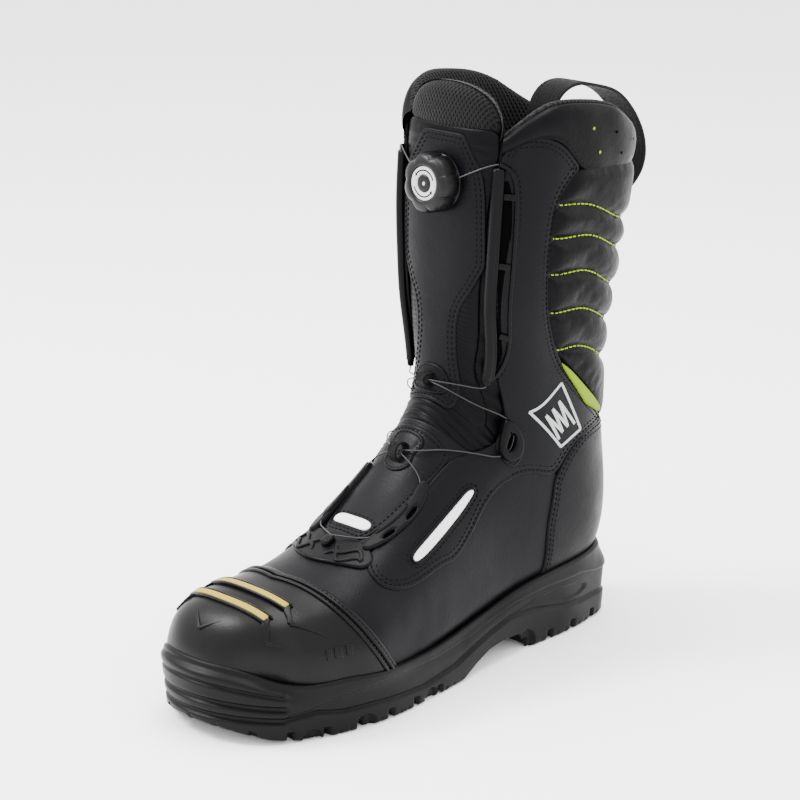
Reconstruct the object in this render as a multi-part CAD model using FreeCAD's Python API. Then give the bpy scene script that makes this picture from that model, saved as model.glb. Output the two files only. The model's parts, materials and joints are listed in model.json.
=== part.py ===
import FreeCAD
import Part
import math
import os

# Left fire boot with a turning lace dial.  Millimetres, +Z up, toe towards -Y,
# outer (lateral) side towards +X, tread on z = 0.
#
# Every leather panel, lining and pad is a piece of shell that follows one boot surface.
# A place on that surface is (station, angle): the station runs from 0 at the toe tip,
# over the instep and up the shaft to 21 above the collar; the angle is measured in
# degrees round the boot, 0 at the front, 90 on the outer side, 180 at the back.

FRONT = 0.0
BACK = 180.0
GAP = 0.3                     # free space between pieces that lie on each other
LEATHER = 1.8                 # thickness of the outer leather
MIDDLE_LAYER = (-4.0, -2.1)   # toe cap, heel stiffener and padding
LINING_LAYER = (-6.3, -4.3)   # membrane lining
LEATHER_LAYER = (-LEATHER, 0.0)
COLLAR_LAYER = (-7.5, -2.1)
LACE_DIAMETER = 1.3
LACE_CHANNEL = 2.3            # bore of a lace channel
WEBBING = 1.8
TONGUE_TILT_AXIS = (18.0, 154.0)   # y, z of the line that the tongue folds about
DIAL_STATION = 18.55
DIAL_LEAN = math.radians(4.0)      # the dial looks slightly upwards

# station: front (y, z), back or bottom (y, z), outer and inner half width, centre x,
# share of the depth in front of the widest place, roundness of the front and the back
STATIONS = [
    (0, -140, 24, -140, 23, 1, 1, -12, 0.55, 2.0, 2.0),
    (1, -149, 38, -128, 15, 24, 24, -12, 0.55, 2.2, 2.4),
    (2, -146, 53, -116, 14, 36, 35, -11, 0.60, 2.3, 2.8),
    (3, -136, 65, -108, 14, 45, 42, -8, 0.62, 2.4, 3.2),
    (4, -119, 72, -99, 14, 50, 46, -5, 0.64, 2.4, 3.6),
    (5, -99, 75, -88, 14, 52, 47, -3, 0.66, 2.3, 3.8),
    (6, -75, 80, -70, 14, 53, 49, 0, 0.68, 2.3, 4.0),
    (7, -48, 90, -44, 15, 50, 48, 0, 0.69, 2.3, 4.0),
    (8, -22, 106, -16, 18, 46, 45, 0, 0.70, 2.3, 3.8),
    (9, -2, 124, 16, 21, 42, 42, 0, 0.68, 2.2, 3.4),
    (10, 10, 140, 54, 22, 39, 39, 0, 0.64, 2.2, 3.0),
    (11, 17, 152, 98, 23, 39, 38, 0, 0.60, 2.2, 2.8),
    (12, 22, 163, 137, 32, 40, 39, 0, 0.56, 2.3, 2.6),
    (13, 24, 173, 151, 62, 41, 40, 0, 0.52, 2.3, 2.5),
    (14, 25, 184, 149, 100, 42, 41, 0, 0.50, 2.4, 2.4),
    (15, 26, 198, 145, 138, 44, 44, 0, 0.49, 2.5, 2.3),
    (16, 27, 215, 144, 175, 48, 48, 0, 0.48, 2.6, 2.3),
    (17, 28, 237, 149, 210, 51, 51, 0, 0.48, 2.7, 2.3),
    (18, 29, 262, 156, 246, 53, 53, 0, 0.48, 2.8, 2.3),
    (19, 31, 291, 162, 281, 54, 54, 0, 0.48, 2.8, 2.3),
    (20, 34, 324, 168, 318, 55, 56, 0, 0.48, 2.8, 2.3),
    (21, 37, 357, 173, 354, 57, 58, 0, 0.48, 2.8, 2.3),
]


def spline(places, values):
    """Natural cubic spline through the values; returns a function of the place."""
    count = len(places)
    steps = [places[i + 1] - places[i] for i in range(count - 1)]
    below = [0.0] * count
    middle = [1.0] * count
    above = [0.0] * count
    right = [0.0] * count
    for i in range(1, count - 1):
        below[i] = steps[i - 1]
        middle[i] = 2 * (steps[i - 1] + steps[i])
        above[i] = steps[i]
        rise = (values[i + 1] - values[i]) / steps[i]
        fall = (values[i] - values[i - 1]) / steps[i - 1]
        right[i] = 6 * (rise - fall)
    for i in range(1, count):
        share = below[i] / middle[i - 1]
        middle[i] -= share * above[i - 1]
        right[i] -= share * right[i - 1]
    bends = [0.0] * count
    bends[-1] = right[-1] / middle[-1]
    for i in range(count - 2, -1, -1):
        bends[i] = (right[i] - above[i] * bends[i + 1]) / middle[i]

    def value(place):
        place = min(max(place, places[0]), places[-1])
        i = 0
        while i < count - 2 and place > places[i + 1]:
            i += 1
        step = steps[i]
        before = places[i + 1] - place
        after = place - places[i]
        curve = (bends[i] * before ** 3 + bends[i + 1] * after ** 3) / (6 * step)
        start = (values[i] / step - bends[i] * step / 6) * before
        end = (values[i + 1] / step - bends[i + 1] * step / 6) * after
        return curve + start + end

    return value


STATION_CURVES = [spline([row[0] for row in STATIONS], [row[k] for row in STATIONS])
                  for k in range(1, 11)]


def section_point(station, angle, grow=0.0):
    """Point of the boot surface; grow widens the whole section in its own plane."""
    values = [curve(station) for curve in STATION_CURVES]
    front_y, front_z, back_y, back_z, outer, inner, centre_x, share, round_f, round_b = values
    depth = math.hypot(back_y - front_y, back_z - front_z)
    along_y = (back_y - front_y) / depth
    along_z = (back_z - front_z) / depth
    turn = math.radians(angle)
    sine = math.sin(turn)
    cosine = math.cos(turn)
    half_width = (outer if sine >= 0 else inner) + grow
    half_depth = (share if cosine > 0 else 1 - share) * depth + grow
    power = round_f if cosine > 0 else round_b
    total = abs(cosine / half_depth) ** power + abs(sine / half_width) ** power
    radius = total ** (-1 / power)
    reach = share * depth - radius * cosine
    return FreeCAD.Vector(centre_x + radius * sine,
                          front_y + along_y * reach,
                          front_z + along_z * reach)


def on_boot(station, angle, height=0.0):
    """Point at a height above the boot surface, along the surface's own normal."""
    nudge = 0.02
    low = max(station - nudge, 0.3)
    across = section_point(station + nudge, angle) - section_point(low, angle)
    around = section_point(station, angle + 1.0) - section_point(station, angle - 1.0)
    normal = around.cross(across)
    normal.normalize()
    return section_point(station, angle) + normal * height


def panel(pairs, layer, along=25, across=9, centre_rise=0.0):
    """Closed shell piece between two edges.

    pairs lists matching points (station, angle) of the two edges; splines join them.
    layer is the height of the inner and the outer face above the boot surface, and
    centre_rise lifts the outer face in the middle, as on a padded piece.
    """
    places = list(range(len(pairs)))
    edges = [[spline(places, [pair[side][axis] for pair in pairs]) for axis in (0, 1)]
             for side in (0, 1)]

    def grid(height, rise):
        rows = []
        for i in range(along):
            place = places[-1] * i / (along - 1)
            first = [curve(place) for curve in edges[0]]
            second = [curve(place) for curve in edges[1]]
            row = []
            for j in range(across):
                t = j / (across - 1)
                station = first[0] + (second[0] - first[0]) * t
                angle = first[1] + (second[1] - first[1]) * t
                bulge = rise * 16 * t * (1 - t) * (i / (along - 1)) * (1 - i / (along - 1))
                row.append(on_boot(station, angle, height + bulge))
            rows.append(row)
        return rows

    surfaces = []
    for height, rise in ((layer[0], 0.0), (layer[1], centre_rise)):
        surface = Part.BSplineSurface()
        surface.interpolate(grid(height, rise))
        surfaces.append(surface)
    return solid_between(surfaces[0], surfaces[1])


def solid_between(lower, upper):
    """Close the space between two four-sided surfaces."""
    faces = [lower.toShape(), upper.toShape()]
    u_min, u_max, v_min, v_max = lower.bounds()
    for u in (u_min, u_max):
        faces.append(Part.makeRuledSurface(lower.uIso(u).toShape(), upper.uIso(u).toShape()))
    for v in (v_min, v_max):
        faces.append(Part.makeRuledSurface(lower.vIso(v).toShape(), upper.vIso(v).toShape()))
    skin = Part.makeCompound(faces)
    skin.sewShape(1e-4)
    solid = Part.makeSolid(skin.Shells[0])
    if solid.Volume < 0:
        solid.reverse()
    return solid


def mirrored(pairs):
    """The same pairs on the inner side of the boot."""
    return [tuple((station, -angle) for station, angle in pair) for pair in pairs]


def rows(*lines):
    """Pairs from lines of (station, first angle, last angle)."""
    return [((station, first), (station, last)) for station, first, last in lines]


def columns(*lines):
    """Pairs from lines of (angle, first station, last station)."""
    return [((first, angle), (last, angle)) for angle, first, last in lines]


def both_sides(*lines):
    """Lines of (angle, first, last) from the back to the front, repeated on the inner side."""
    inner = [(2 * BACK - angle, first, last) for angle, first, last in lines[-2::-1]]
    return columns(*(list(lines) + inner))


# ---------------------------------------------------------------- leather and lining

# angle at which the outer leather ends under the foot, by station
LOWER_EDGE = spline([0.9, 2, 4, 6, 7, 8, 9, 10, 11, 11.5, 12],
                    [104, 102, 103, 102, 106, 115, 133, 149, 161, 169, 178])
# station of the seam behind the toe guard, by angle
TOE_SEAM = spline([0, 23, 50, 73, 90, 104], [5.40, 5.52, 5.70, 6.04, 6.40, 6.70])


def toe_guard():
    angles = [-103, -85, -65, -45, -22, 0, 22, 45, 65, 85, 103]
    lines = [(angle, 1.2, TOE_SEAM(abs(angle)) - 0.04) for angle in angles]
    return panel(columns(*lines), (-LEATHER, 1.2), along=31, across=17)


def toe_strip(middle, outer_end, inner_end, half_width):
    """Raised strip across the toe; its ends lie a little further back than its middle."""
    centre = [(inner_end[0], inner_end[1]), (middle, 0.0), (outer_end[0], outer_end[1])]
    pairs = [((station - half_width, angle), (station + half_width, angle))
             for station, angle in centre]
    return panel(pairs, (1.2 + GAP, 3.8), along=15, across=5)


def steel_toe_cap():
    lines = [(angle, 0.9, 4.9) for angle in range(-100, 101, 20)]
    return panel(columns(*lines), MIDDLE_LAYER, along=31, across=15)


def vamp():
    """One hide over the forefoot with a wing along each side, back to the heel seam."""
    outer_half = [
        ((10.78, 136), (12.10, 79)), ((10.0, 147), (11.80, 50)), ((9.3, 138), (10.97, 45)),
        ((8.5, 123), (10.15, 49)), ((7.8, 112), (8.85, 64)), ((7.2, 106), (8.0, 61)),
        ((6.8, 103), (7.25, 60)), ((6.14, 76), (6.66, 51)), ((5.76, 50), (6.58, 30)),
        ((5.56, 23), (6.90, 14)),
    ]
    middle = [((TOE_SEAM(0) + 0.04, 0), (6.95, 0))]
    return panel(outer_half + middle + mirrored(outer_half[::-1]), LEATHER_LAYER,
                 along=81, across=11)


SHAFT_PANEL = rows(
    (6.72, 30, 47), (7.2, 24, 57), (8.0, 21, 59), (8.8, 20, 62), (9.4, 20, 58),
    (10.2, 22, 46), (11.0, 26, 42), (11.8, 29, 47), (12.25, 30, 74), (12.8, 30, 90),
    (13.5, 30, 107), (14.0, 30, 122), (14.4, 30, 139), (14.7, 30, 113), (15.0, 30, 89),
    (15.4, 30, 80), (16.2, 30, 71), (17.2, 30, 66), (18.2, 31, 65), (18.7, 32, 71),
    (19.05, 33, 74), (19.35, 36, 62))

HEEL_COVER = both_sides(
    (82, 12.12, 12.32), (90, 11.94, 12.75), (104, 11.61, 13.25), (120, 11.24, 13.82),
    (137, 10.88, 14.18), (150, 10.50, 14.40), (161, 11.12, 14.52), (169, 11.62, 14.56),
    (180, 12.2, 14.58))

HEEL_STIFFENER = both_sides(
    (100, 11.4, 12.9), (120, 11.1, 13.75), (137, 10.9, 14.1), (150, 10.55, 14.25),
    (161, 11.2, 14.32), (169, 11.7, 14.35), (180, 12.25, 14.36))

BACK_PAD = rows(
    (14.72, 152, 208), (14.9, 124, 236), (15.1, 95, 265), (15.4, 84, 276), (16.2, 74, 286),
    (17.2, 69, 291), (18.2, 68, 292), (18.72, 78, 282))

WEDGE = columns((93, 14.98, 15.03), (118, 14.70, 14.84), (146, 14.46, 14.70))

COLLAR_BAND = both_sides(
    (42, 19.46, 19.74), (54, 19.53, 19.93), (67, 19.40, 20.02), (81, 19.08, 20.03),
    (110, 18.84, 19.95), (145, 18.80, 19.55), (180, 18.80, 19.20))

COLLAR_LINING = both_sides(
    (44, 18.3, 19.72), (54, 18.3, 19.90), (67, 18.3, 19.98), (81, 18.3, 19.99),
    (110, 18.3, 19.90), (145, 18.3, 19.50), (180, 18.3, 19.16))


def foot_lining():
    lines = []
    for step in range(13):
        station = 0.9 + (9.85 - 0.9) * step / 12
        reach = LOWER_EDGE(station) - 2
        lines.append((station, -reach, reach))
    return panel(rows(*lines), LINING_LAYER, along=31, across=31)


SHAFT_LINING = both_sides(
    (31, 10.0, 18.15), (60, 10.0, 18.15), (90, 10.0, 18.15), (120, 10.0, 18.15),
    (146, 10.05, 18.15), (161, 11.1, 18.15), (169, 11.6, 18.15), (180, 12.2, 18.15))

SHAFT_PADDING = both_sides(
    (47, 14.5, 18.1), (90, 14.5, 18.1), (135, 14.5, 18.1), (180, 14.5, 18.1))


VAMP_PADDING = columns(*[(angle, 5.05, 9.8) for angle in range(-99, 100, 18)])
ANKLE_PAD = rows((10.1, 46, 97), (11.2, 46, 97), (12.4, 46, 97), (13.4, 46, 97), (14.4, 46, 97))

# ---------------------------------------------------------------- tongue and instep

TONGUE_SHIELD = rows(
    (11.45, -10, 10), (12.3, -12, 12), (13.5, -12, 12), (15.0, -13, 13), (15.9, -18, 18),
    (16.6, -25, 25), (17.2, -28, 28), (18.2, -28, 28), (18.9, -25, 25), (19.4, -15, 15))
TONGUE_UNDERLAY = rows((11.45, -27, 27), (13, -27, 27), (15, -28, 28), (17.3, -28, 28))
TONGUE_PAD = rows(
    (11.8, -26, 26), (13, -27, 27), (15, -27, 27), (17, -28, 28), (18.6, -28, 28),
    (19.45, -28, 28), (19.72, -34, 34), (19.95, -34, 34), (20.2, -26, 26), (20.36, -13, 13))
GUSSET = rows((11.6, 30, 44), (13, 30, 44), (15, 30, 44), (17, 30, 44))
FLEX_ZONE = rows((9.98, -19, 19), (10.6, -22, 22), (11.3, -26, 26))
INSTEP_SHIELD = rows((7.02, -13, 13), (7.5, -17, 17), (8.4, -18, 18), (9.2, -18, 18), (9.9, -18, 18))
INSTEP_REFLECTOR = rows((7.24, -13, 13), (7.44, -13, 13))
SIDE_REFLECTOR = [((7.62, 42.5), (7.62, 46.5)), ((8.8, 39), (8.8, 43.5)), ((9.98, 35), (9.98, 39))]
SIDE_BADGE = [((13.25, 48), (14.55, 86)), ((13.08, 66), (14.18, 100)), ((13.0, 84), (13.86, 113))]

# ---------------------------------------------------------------- lace and its guides
# Each lace point is (station, angle, height); a minus sign before the angle is the inner side.

LOOP_HEIGHT = 5.4             # height of the lace where it crosses the middle line

DIAL_RUN = [(18.72, 15, 4.6), (18.86, 22, 3.5), (18.97, 28, 2.9), (19.03, 33, 2.7),
            (18.9, 35.2, 2.7), (18.7, 35.2, 2.7)]
RAIL_RUN = [(18.69, 35.2, 2.7), (18.2, 35, 2.7), (17.4, 35, 2.7), (16.4, 35, 2.7),
            (15.3, 35, 2.7), (14.3, 34.6, 2.7), (13.5, 34.2, 2.7)]
SHIN_RUN = [(13.49, 34.2, 2.7), (13.2, 33.5, 2.7), (12.95, 27, 2.3), (12.65, 17, 2.6),
            (12.35, 8, 4.4), (12.15, 0, LOOP_HEIGHT), (12.05, -8, 4.4), (12.15, -17, 2.6),
            (12.45, -26, 2.5), (12.5, -32, 3.2), (12.35, -33.5, 3.2)]
INSTEP_RUN = [(12.33, -33.5, 3.2), (12.0, -33.8, 3.2), (11.6, -33.6, 3.2), (11.2, -31.5, 3.2),
              (10.7, -25, 3.0), (9.9, -16.5, 2.8), (9.3, -8.5, 4.4), (9.1, 0, LOOP_HEIGHT),
              (8.95, 8.5, 4.4), (8.82, 16, 2.9), (8.55, 21.5, 2.7), (8.0, 24, 2.7),
              (7.4, 24, 2.7), (7.06, 19, 3.0), (6.9, 10, 3.6)]
HOOK_POINT = (6.78, 0, 4.2)
RAIL_RUNS = (DIAL_RUN, RAIL_RUN, SHIN_RUN)
ANKLE_RUNS = (SHIN_RUN, INSTEP_RUN)
CROSSING = 0.85               # half distance of the two strands that cross in a loop


def on_other_side(points):
    return [(station, -angle, height) for station, angle, height in points]


def other_side_runs(runs):
    return [on_other_side(run) for run in runs]


def crossing_strand(points, lift):
    """Move the strand that crosses the middle line up or down, so that two strands pass."""
    return [(station, angle, height + (lift if angle == 0 else 0.0))
            for station, angle, height in points]


def cable_path(points):
    """Straight runs joined by tangent arcs, each as large as its runs allow."""
    edges = []
    start = points[0]
    for i in range(1, len(points) - 1):
        before = points[i] - points[i - 1]
        after = points[i + 1] - points[i]
        turn = before.getAngle(after)
        trim = 0.45 * min(before.Length, after.Length)
        radius = trim / math.tan(turn / 2)
        into = points[i] - before.normalize() * trim
        out = points[i] + after.normalize() * trim
        inward = after - before
        inward.normalize()
        middle = points[i] + inward * (radius / math.cos(turn / 2) - radius)
        edges.append(Part.LineSegment(start, into).toShape())
        edges.append(Part.Arc(into, middle, out).toShape())
        start = out
    edges.append(Part.LineSegment(start, points[-1]).toShape())
    return Part.Wire(edges)


def cable(points, diameter=LACE_DIAMETER):
    path = cable_path([on_boot(*point) for point in points])
    first = path.Edges[0]
    direction = first.tangentAt(first.FirstParameter)
    ring = Part.Wire(Part.Circle(path.Vertexes[0].Point, direction, diameter / 2).toShape())
    tube = path.makePipeShell([ring], True, True)
    return tube


RAIL_GUIDE = rows(
    (13.22, 27, 37), (13.6, 28, 41), (14.4, 29, 42), (16, 30, 41), (17.5, 30, 40.5),
    (18.6, 30, 40), (19.02, 31, 38))
ANKLE_GUIDE = rows((11.38, 29, 37), (11.6, 28, 39), (12.2, 28, 39), (12.42, 29, 37))
LOWER_GUIDE = rows((7.04, 20, 26), (7.3, 20, 28), (8.0, 19.5, 28), (8.6, 18.5, 26), (8.85, 18, 22))
TOE_GUIDE = columns((-33, 6.62, 6.93), (-24, 6.42, 6.95), (-12, 6.24, 6.98), (0, 6.16, 6.98),
                    (12, 6.24, 6.98), (24, 6.42, 6.95), (33, 6.62, 6.93))
ANKLE_TAB = rows((11.3, 27.5, 41), (12.0, 27, 41), (12.5, 27.5, 41))


def bored_guide(pairs, layer, *runs, along=21):
    """A moulded guide with the lace channel bored through it."""
    body = panel(pairs, layer, along=along, across=7)
    for run in runs:
        body = body.cut(cable(run, LACE_CHANNEL))
    return body


def hook():
    """Open hook that holds the middle of the lace on the toe guide."""
    seat = on_boot(HOOK_POINT[0], 0, HOOK_POINT[2])
    return Part.makeBox(7.0, 2.4, 3.0, seat + FreeCAD.Vector(-3.5, 1.1, -3.0))


def toe_guide():
    plate = panel(TOE_GUIDE, (GAP, 2.4), along=25, across=9)
    lace = INSTEP_RUN[-3:] + [HOOK_POINT] + on_other_side(INSTEP_RUN[:-4:-1])
    return plate.fuse(hook()).cut(cable(lace, LACE_CHANNEL))


LOOP_RADIUS = 2.6


def lace_loop(station):
    """Short webbing tube across the boot; the two crossing strands pass through it."""
    centre = on_boot(station, 0, LOOP_HEIGHT)
    length = 7.0
    start = centre - FreeCAD.Vector(length / 2, 0, 0)
    along_x = FreeCAD.Vector(1, 0, 0)
    outer = Part.makeCylinder(LOOP_RADIUS + 1.2, length, start, along_x)
    return outer.cut(Part.makeCylinder(LOOP_RADIUS, length, start, along_x))


# ---------------------------------------------------------------- dial

DIAL_RADIUS = 16.0
DIAL_BASE_TOP = 6.0
KNOB_BOTTOM = 6.4
KNOB_TOP = 13.6
KNOB_LOBES = 7


def dial_placement():
    seat = on_boot(DIAL_STATION, 0, 0)
    turn = FreeCAD.Rotation(FreeCAD.Vector(1, 0, 0), 90 - math.degrees(DIAL_LEAN))
    return FreeCAD.Placement(seat, turn)


def placed(shape):
    shape.Placement = dial_placement()
    return shape


def ring(inner, outer, low, high):
    body = Part.makeCylinder(outer, high - low, FreeCAD.Vector(0, 0, low))
    if inner > 0:
        body = body.cut(Part.makeCylinder(inner, high - low, FreeCAD.Vector(0, 0, low)))
    return body


def dial_base():
    flange = ring(0, 20.0, GAP, 1.5)
    wall = ring(14.2, 17.0, 1.5, DIAL_BASE_TOP)
    post = ring(0, 2.5, 1.5, DIAL_BASE_TOP)
    body = placed(flange.fuse(wall).fuse(post))
    for run in (DIAL_RUN, on_other_side(DIAL_RUN)):
        body = body.cut(cable(run, LACE_CHANNEL))
    return body


def dial_spool():
    drum = ring(2.8, 8.0, 1.8, 5.0)
    lower_flange = ring(2.8, 13.2, 1.8, 2.4)
    upper_flange = ring(2.8, 13.2, 4.4, 5.0)
    return placed(drum.fuse(lower_flange).fuse(upper_flange))


def spool_lace():
    return placed(ring(8.2, 11.8, 2.6, 4.2))


def dial_spring():
    return placed(ring(3.6, 6.4, 5.2, 6.1))


def dial_gear():
    """Ratchet wheel under the knob."""
    teeth = 24
    tooth = Part.makeBox(1.0, 1.0, 1.4, FreeCAD.Vector(9.6, -0.5, 6.7))
    body = ring(1.6, 10.0, 6.7, 8.1)
    for number in range(teeth):
        next_tooth = tooth.copy()
        next_tooth.rotate(FreeCAD.Vector(0, 0, 0), FreeCAD.Vector(0, 0, 1), 360.0 * number / teeth)
        body = body.fuse(next_tooth)
    return placed(body)


def lobed_outline(radius, height):
    points = []
    samples = 12 * KNOB_LOBES
    for number in range(samples):
        turn = 2 * math.pi * number / samples
        reach = radius + 0.45 * math.cos(KNOB_LOBES * turn)
        points.append(FreeCAD.Vector(reach * math.cos(turn), reach * math.sin(turn), height))
    curve = Part.BSplineCurve()
    curve.interpolate(Points=points, PeriodicFlag=True)
    return Part.Wire(curve.toShape())


def dial_knob():
    """Hollow knob: a lobed wall, a roof with a shallow round recess and a hub."""
    body = Part.makeLoft([lobed_outline(DIAL_RADIUS, KNOB_BOTTOM),
                          lobed_outline(DIAL_RADIUS, KNOB_TOP - 1.6)], True)
    crown = Part.makeLoft([lobed_outline(DIAL_RADIUS, KNOB_TOP - 1.6),
                           lobed_outline(DIAL_RADIUS - 2.2, KNOB_TOP)], True)
    body = body.fuse(crown)
    body = body.cut(ring(0, 12.0, KNOB_BOTTOM, 9.4))
    body = body.cut(ring(0, 11.0, KNOB_TOP - 0.9, KNOB_TOP))
    body = body.fuse(ring(0, 4.0, 8.4, 9.4))
    return placed(body.cut(ring(0, 1.6, 8.4, KNOB_TOP)))


def dial_cap():
    return placed(ring(1.6, 10.8, KNOB_TOP - 0.7, KNOB_TOP - 0.1))


def dial_screw():
    shank = ring(0, 1.3, 7.0, KNOB_TOP - 0.1)
    head = ring(0, 2.4, KNOB_TOP + 0.1, KNOB_TOP + 0.7)
    neck = ring(0, 1.3, KNOB_TOP - 0.1, KNOB_TOP + 0.1)
    return placed(shank.fuse(neck).fuse(head))


# ---------------------------------------------------------------- pull loop

PULL_LOOP = [(162.5, 250), (175, 254), (189, 265), (191.5, 281), (182, 298), (167, 311),
             (150, 317), (134, 320), (120, 316), (113, 304), (119, 292), (133, 284), (147, 276)]
PULL_LOOP_WIDTH = 20.0
PULL_LOOP_PATCH = rows((18.86, 162, 198), (19.12, 162, 198))


def side_curve(points):
    curve = Part.BSplineCurve()
    curve.interpolate([FreeCAD.Vector(-PULL_LOOP_WIDTH / 2, y, z) for y, z in points])
    return curve.toShape()


def pull_loop():
    """Strip of webbing bent into a loop in the middle plane, both ends sewn to the collar."""
    places = list(range(len(PULL_LOOP)))
    curve_y = spline(places, [point[0] for point in PULL_LOOP])
    curve_z = spline(places, [point[1] for point in PULL_LOOP])
    sides = ([], [])
    samples = 40
    for number in range(samples + 1):
        place = places[-1] * number / samples
        step_y = curve_y(place + 0.01) - curve_y(place - 0.01)
        step_z = curve_z(place + 0.01) - curve_z(place - 0.01)
        size = math.hypot(step_y, step_z)
        for side, sign in zip(sides, (1, -1)):
            shift = sign * WEBBING / 2 / size
            side.append((curve_y(place) - step_z * shift, curve_z(place) + step_y * shift))
    edges = [side_curve(sides[0]), side_curve(sides[1])]
    for end in (0, -1):
        first = FreeCAD.Vector(-PULL_LOOP_WIDTH / 2, *sides[0][end])
        second = FreeCAD.Vector(-PULL_LOOP_WIDTH / 2, *sides[1][end])
        edges.append(Part.LineSegment(first, second).toShape())
    outline = Part.Wire(Part.__sortEdges__(edges))
    return Part.Face(outline).extrude(FreeCAD.Vector(PULL_LOOP_WIDTH, 0, 0))


# ---------------------------------------------------------------- sole

# plan outline of the sole's upper edge, outer side from toe to heel, then the inner side
SOLE_OUTER = [(8, -153), (30, -140), (45, -119), (53.5, -92), (56.5, -65), (54.5, -38),
              (50, -8), (45, 22), (41.5, 52), (40, 82), (39, 108), (34, 134), (20, 152)]
SOLE_INNER = [(-20, 152), (-34, 134), (-38.5, 108), (-39.5, 82), (-41.5, 52), (-46, 22),
              (-49.5, -8), (-51.5, -38), (-53, -65), (-55, -92), (-54.5, -117), (-47, -139),
              (-31, -152), (-12, -156)]
# side view (y, z): underside, top of the tread layer and top edge of the sole
UNDERSIDE = [(-165, 16), (-150, 9), (-132, 2.5), (-115, 0), (4, 0), (16, 6), (28, 10.5),
             (42, 12), (58, 11.5), (66, 0), (146, 0), (165, 9)]
TREAD_TOP = [(-165, 24), (-150, 17), (-132, 10.5), (-115, 8), (-4, 8), (14, 11.5), (28, 14),
             (42, 14.8), (64, 15), (100, 14), (146, 14), (165, 16)]
TOP_EDGE = [(-165, 45), (-150, 43), (-133, 36), (-97, 33), (-57, 31), (-20, 29.5), (10, 31),
            (36, 35), (56, 40), (81, 43), (109, 45), (150, 46), (165, 46)]
BUMPER_END = -116.0
PLATE_FRONT = -120.0          # front end of the plates under the foot
PLATE_DROP = 8.8
HOLLOW_GROW = 3.4             # room that the sole leaves round the upper
# bottom of the hollow that the foot plates lie in
HOLLOW_FLOOR = [(-165, 12.8), (-60, 12.8), (-44, 13.7), (-16, 16.8), (16, 19.8), (54, 20.8),
                (98, 21.8), (165, 24)]


def plan_outline(shrink, height):
    points = [FreeCAD.Vector(x * (1 - shrink), y * (1 - shrink / 2), height)
              for x, y in SOLE_OUTER + SOLE_INNER]
    curve = Part.BSplineCurve()
    curve.interpolate(Points=points, PeriodicFlag=True)
    return Part.Wire(curve.toShape())


def sole_block(shrink_low=0.06, shrink_high=-0.01, top=62.0):
    return Part.makeLoft([plan_outline(shrink_low, -1.0), plan_outline(shrink_high, top)], True)


def band(lower, upper, lift_low=0.0, lift_high=0.0):
    """Side-view band between two lines, as a block across the whole foot."""
    points = [(y, z + lift_low) for y, z in lower] + [(y, z + lift_high) for y, z in upper[::-1]]
    corners = [FreeCAD.Vector(-90, y, z) for y, z in points]
    face = Part.Face(Part.makePolygon(corners + corners[:1]))
    return face.extrude(FreeCAD.Vector(180, 0, 0))


def last_block(grow):
    """Solid of the boot surface from the toe to just above the heel."""
    wires = []
    for station in (0.5, 1, 1.5, 2, 3, 4, 5, 6, 7, 8, 9, 10, 11, 11.6, 12.1, 12.6, 13.4):
        points = [section_point(station, angle, grow) for angle in range(0, 360, 12)]
        curve = Part.BSplineCurve()
        curve.interpolate(Points=points, PeriodicFlag=True)
        wires.append(Part.Wire(curve.toShape()))
    return Part.makeLoft(wires, True)


def outsole():
    """Rubber tread with grooves cut across it."""
    body = sole_block().common(band(UNDERSIDE, TREAD_TOP))
    groove_width = 5.0
    groove_depth = 4.0
    for y in (-104, -86, -68, -50, -32, -14, 80, 98, 116, 134):
        body = body.cut(Part.makeBox(140, groove_width, groove_depth + 1,
                                     FreeCAD.Vector(-70, y - groove_width / 2, -1)))
    return body


SHANK_BOX = ((-9.0, 16.0, 17.9), (18.0, 72.0, 1.5))


def shank(grow=0.0):
    corner, size = SHANK_BOX
    return Part.makeBox(size[0] + 2 * grow, size[1] + 2 * grow, size[2] + 2 * grow,
                        FreeCAD.Vector(corner[0] - grow, corner[1] - grow, corner[2] - grow))


def upper_sole():
    """Cushioning layer above the tread, with the foot's hollow and the shank's pocket."""
    body = sole_block().common(band(TREAD_TOP, TOP_EDGE, lift_low=0.2))
    body = body.cut(last_block(HOLLOW_GROW))
    return body.cut(shank(0.2))


def midsole():
    front = Part.makeBox(200, 100, 100, FreeCAD.Vector(-100, BUMPER_END - 100, -10))
    return upper_sole().cut(front)


def toe_bumper():
    front = Part.makeBox(200, 100, 100, FreeCAD.Vector(-100, BUMPER_END - GAP - 100, -10))
    return upper_sole().common(front)


def foot_plate(low, high, clearance):
    """Plate between the sides of the lining: the lining's inside, lowered onto the sole."""
    inside = last_block(-clearance)
    inside.translate(FreeCAD.Vector(0, 0, -PLATE_DROP))
    plate = inside.common(band(HOLLOW_FLOOR, HOLLOW_FLOOR, low, high)).common(last_block(2.0))
    toe_end = Part.makeBox(200, 100, 100, FreeCAD.Vector(-100, PLATE_FRONT - 100, -10))
    return plate.cut(toe_end)


# ---------------------------------------------------------------- nodes

def group(*solids):
    return Part.makeCompound(list(solids))


def on_both_sides(pairs, layer):
    return group(panel(pairs, layer), panel(mirrored(pairs), layer))


def lace_pair(points):
    return group(cable(crossing_strand(points, CROSSING)),
                 cable(crossing_strand(on_other_side(points), -CROSSING)))


def instep_lace():
    """The lace's middle stretch: one strand from ankle guide to ankle guide round the hook."""
    outgoing = crossing_strand(INSTEP_RUN, CROSSING)
    returning = crossing_strand(on_other_side(INSTEP_RUN), -CROSSING)
    return cable(outgoing + [HOOK_POINT] + returning[::-1])


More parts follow.
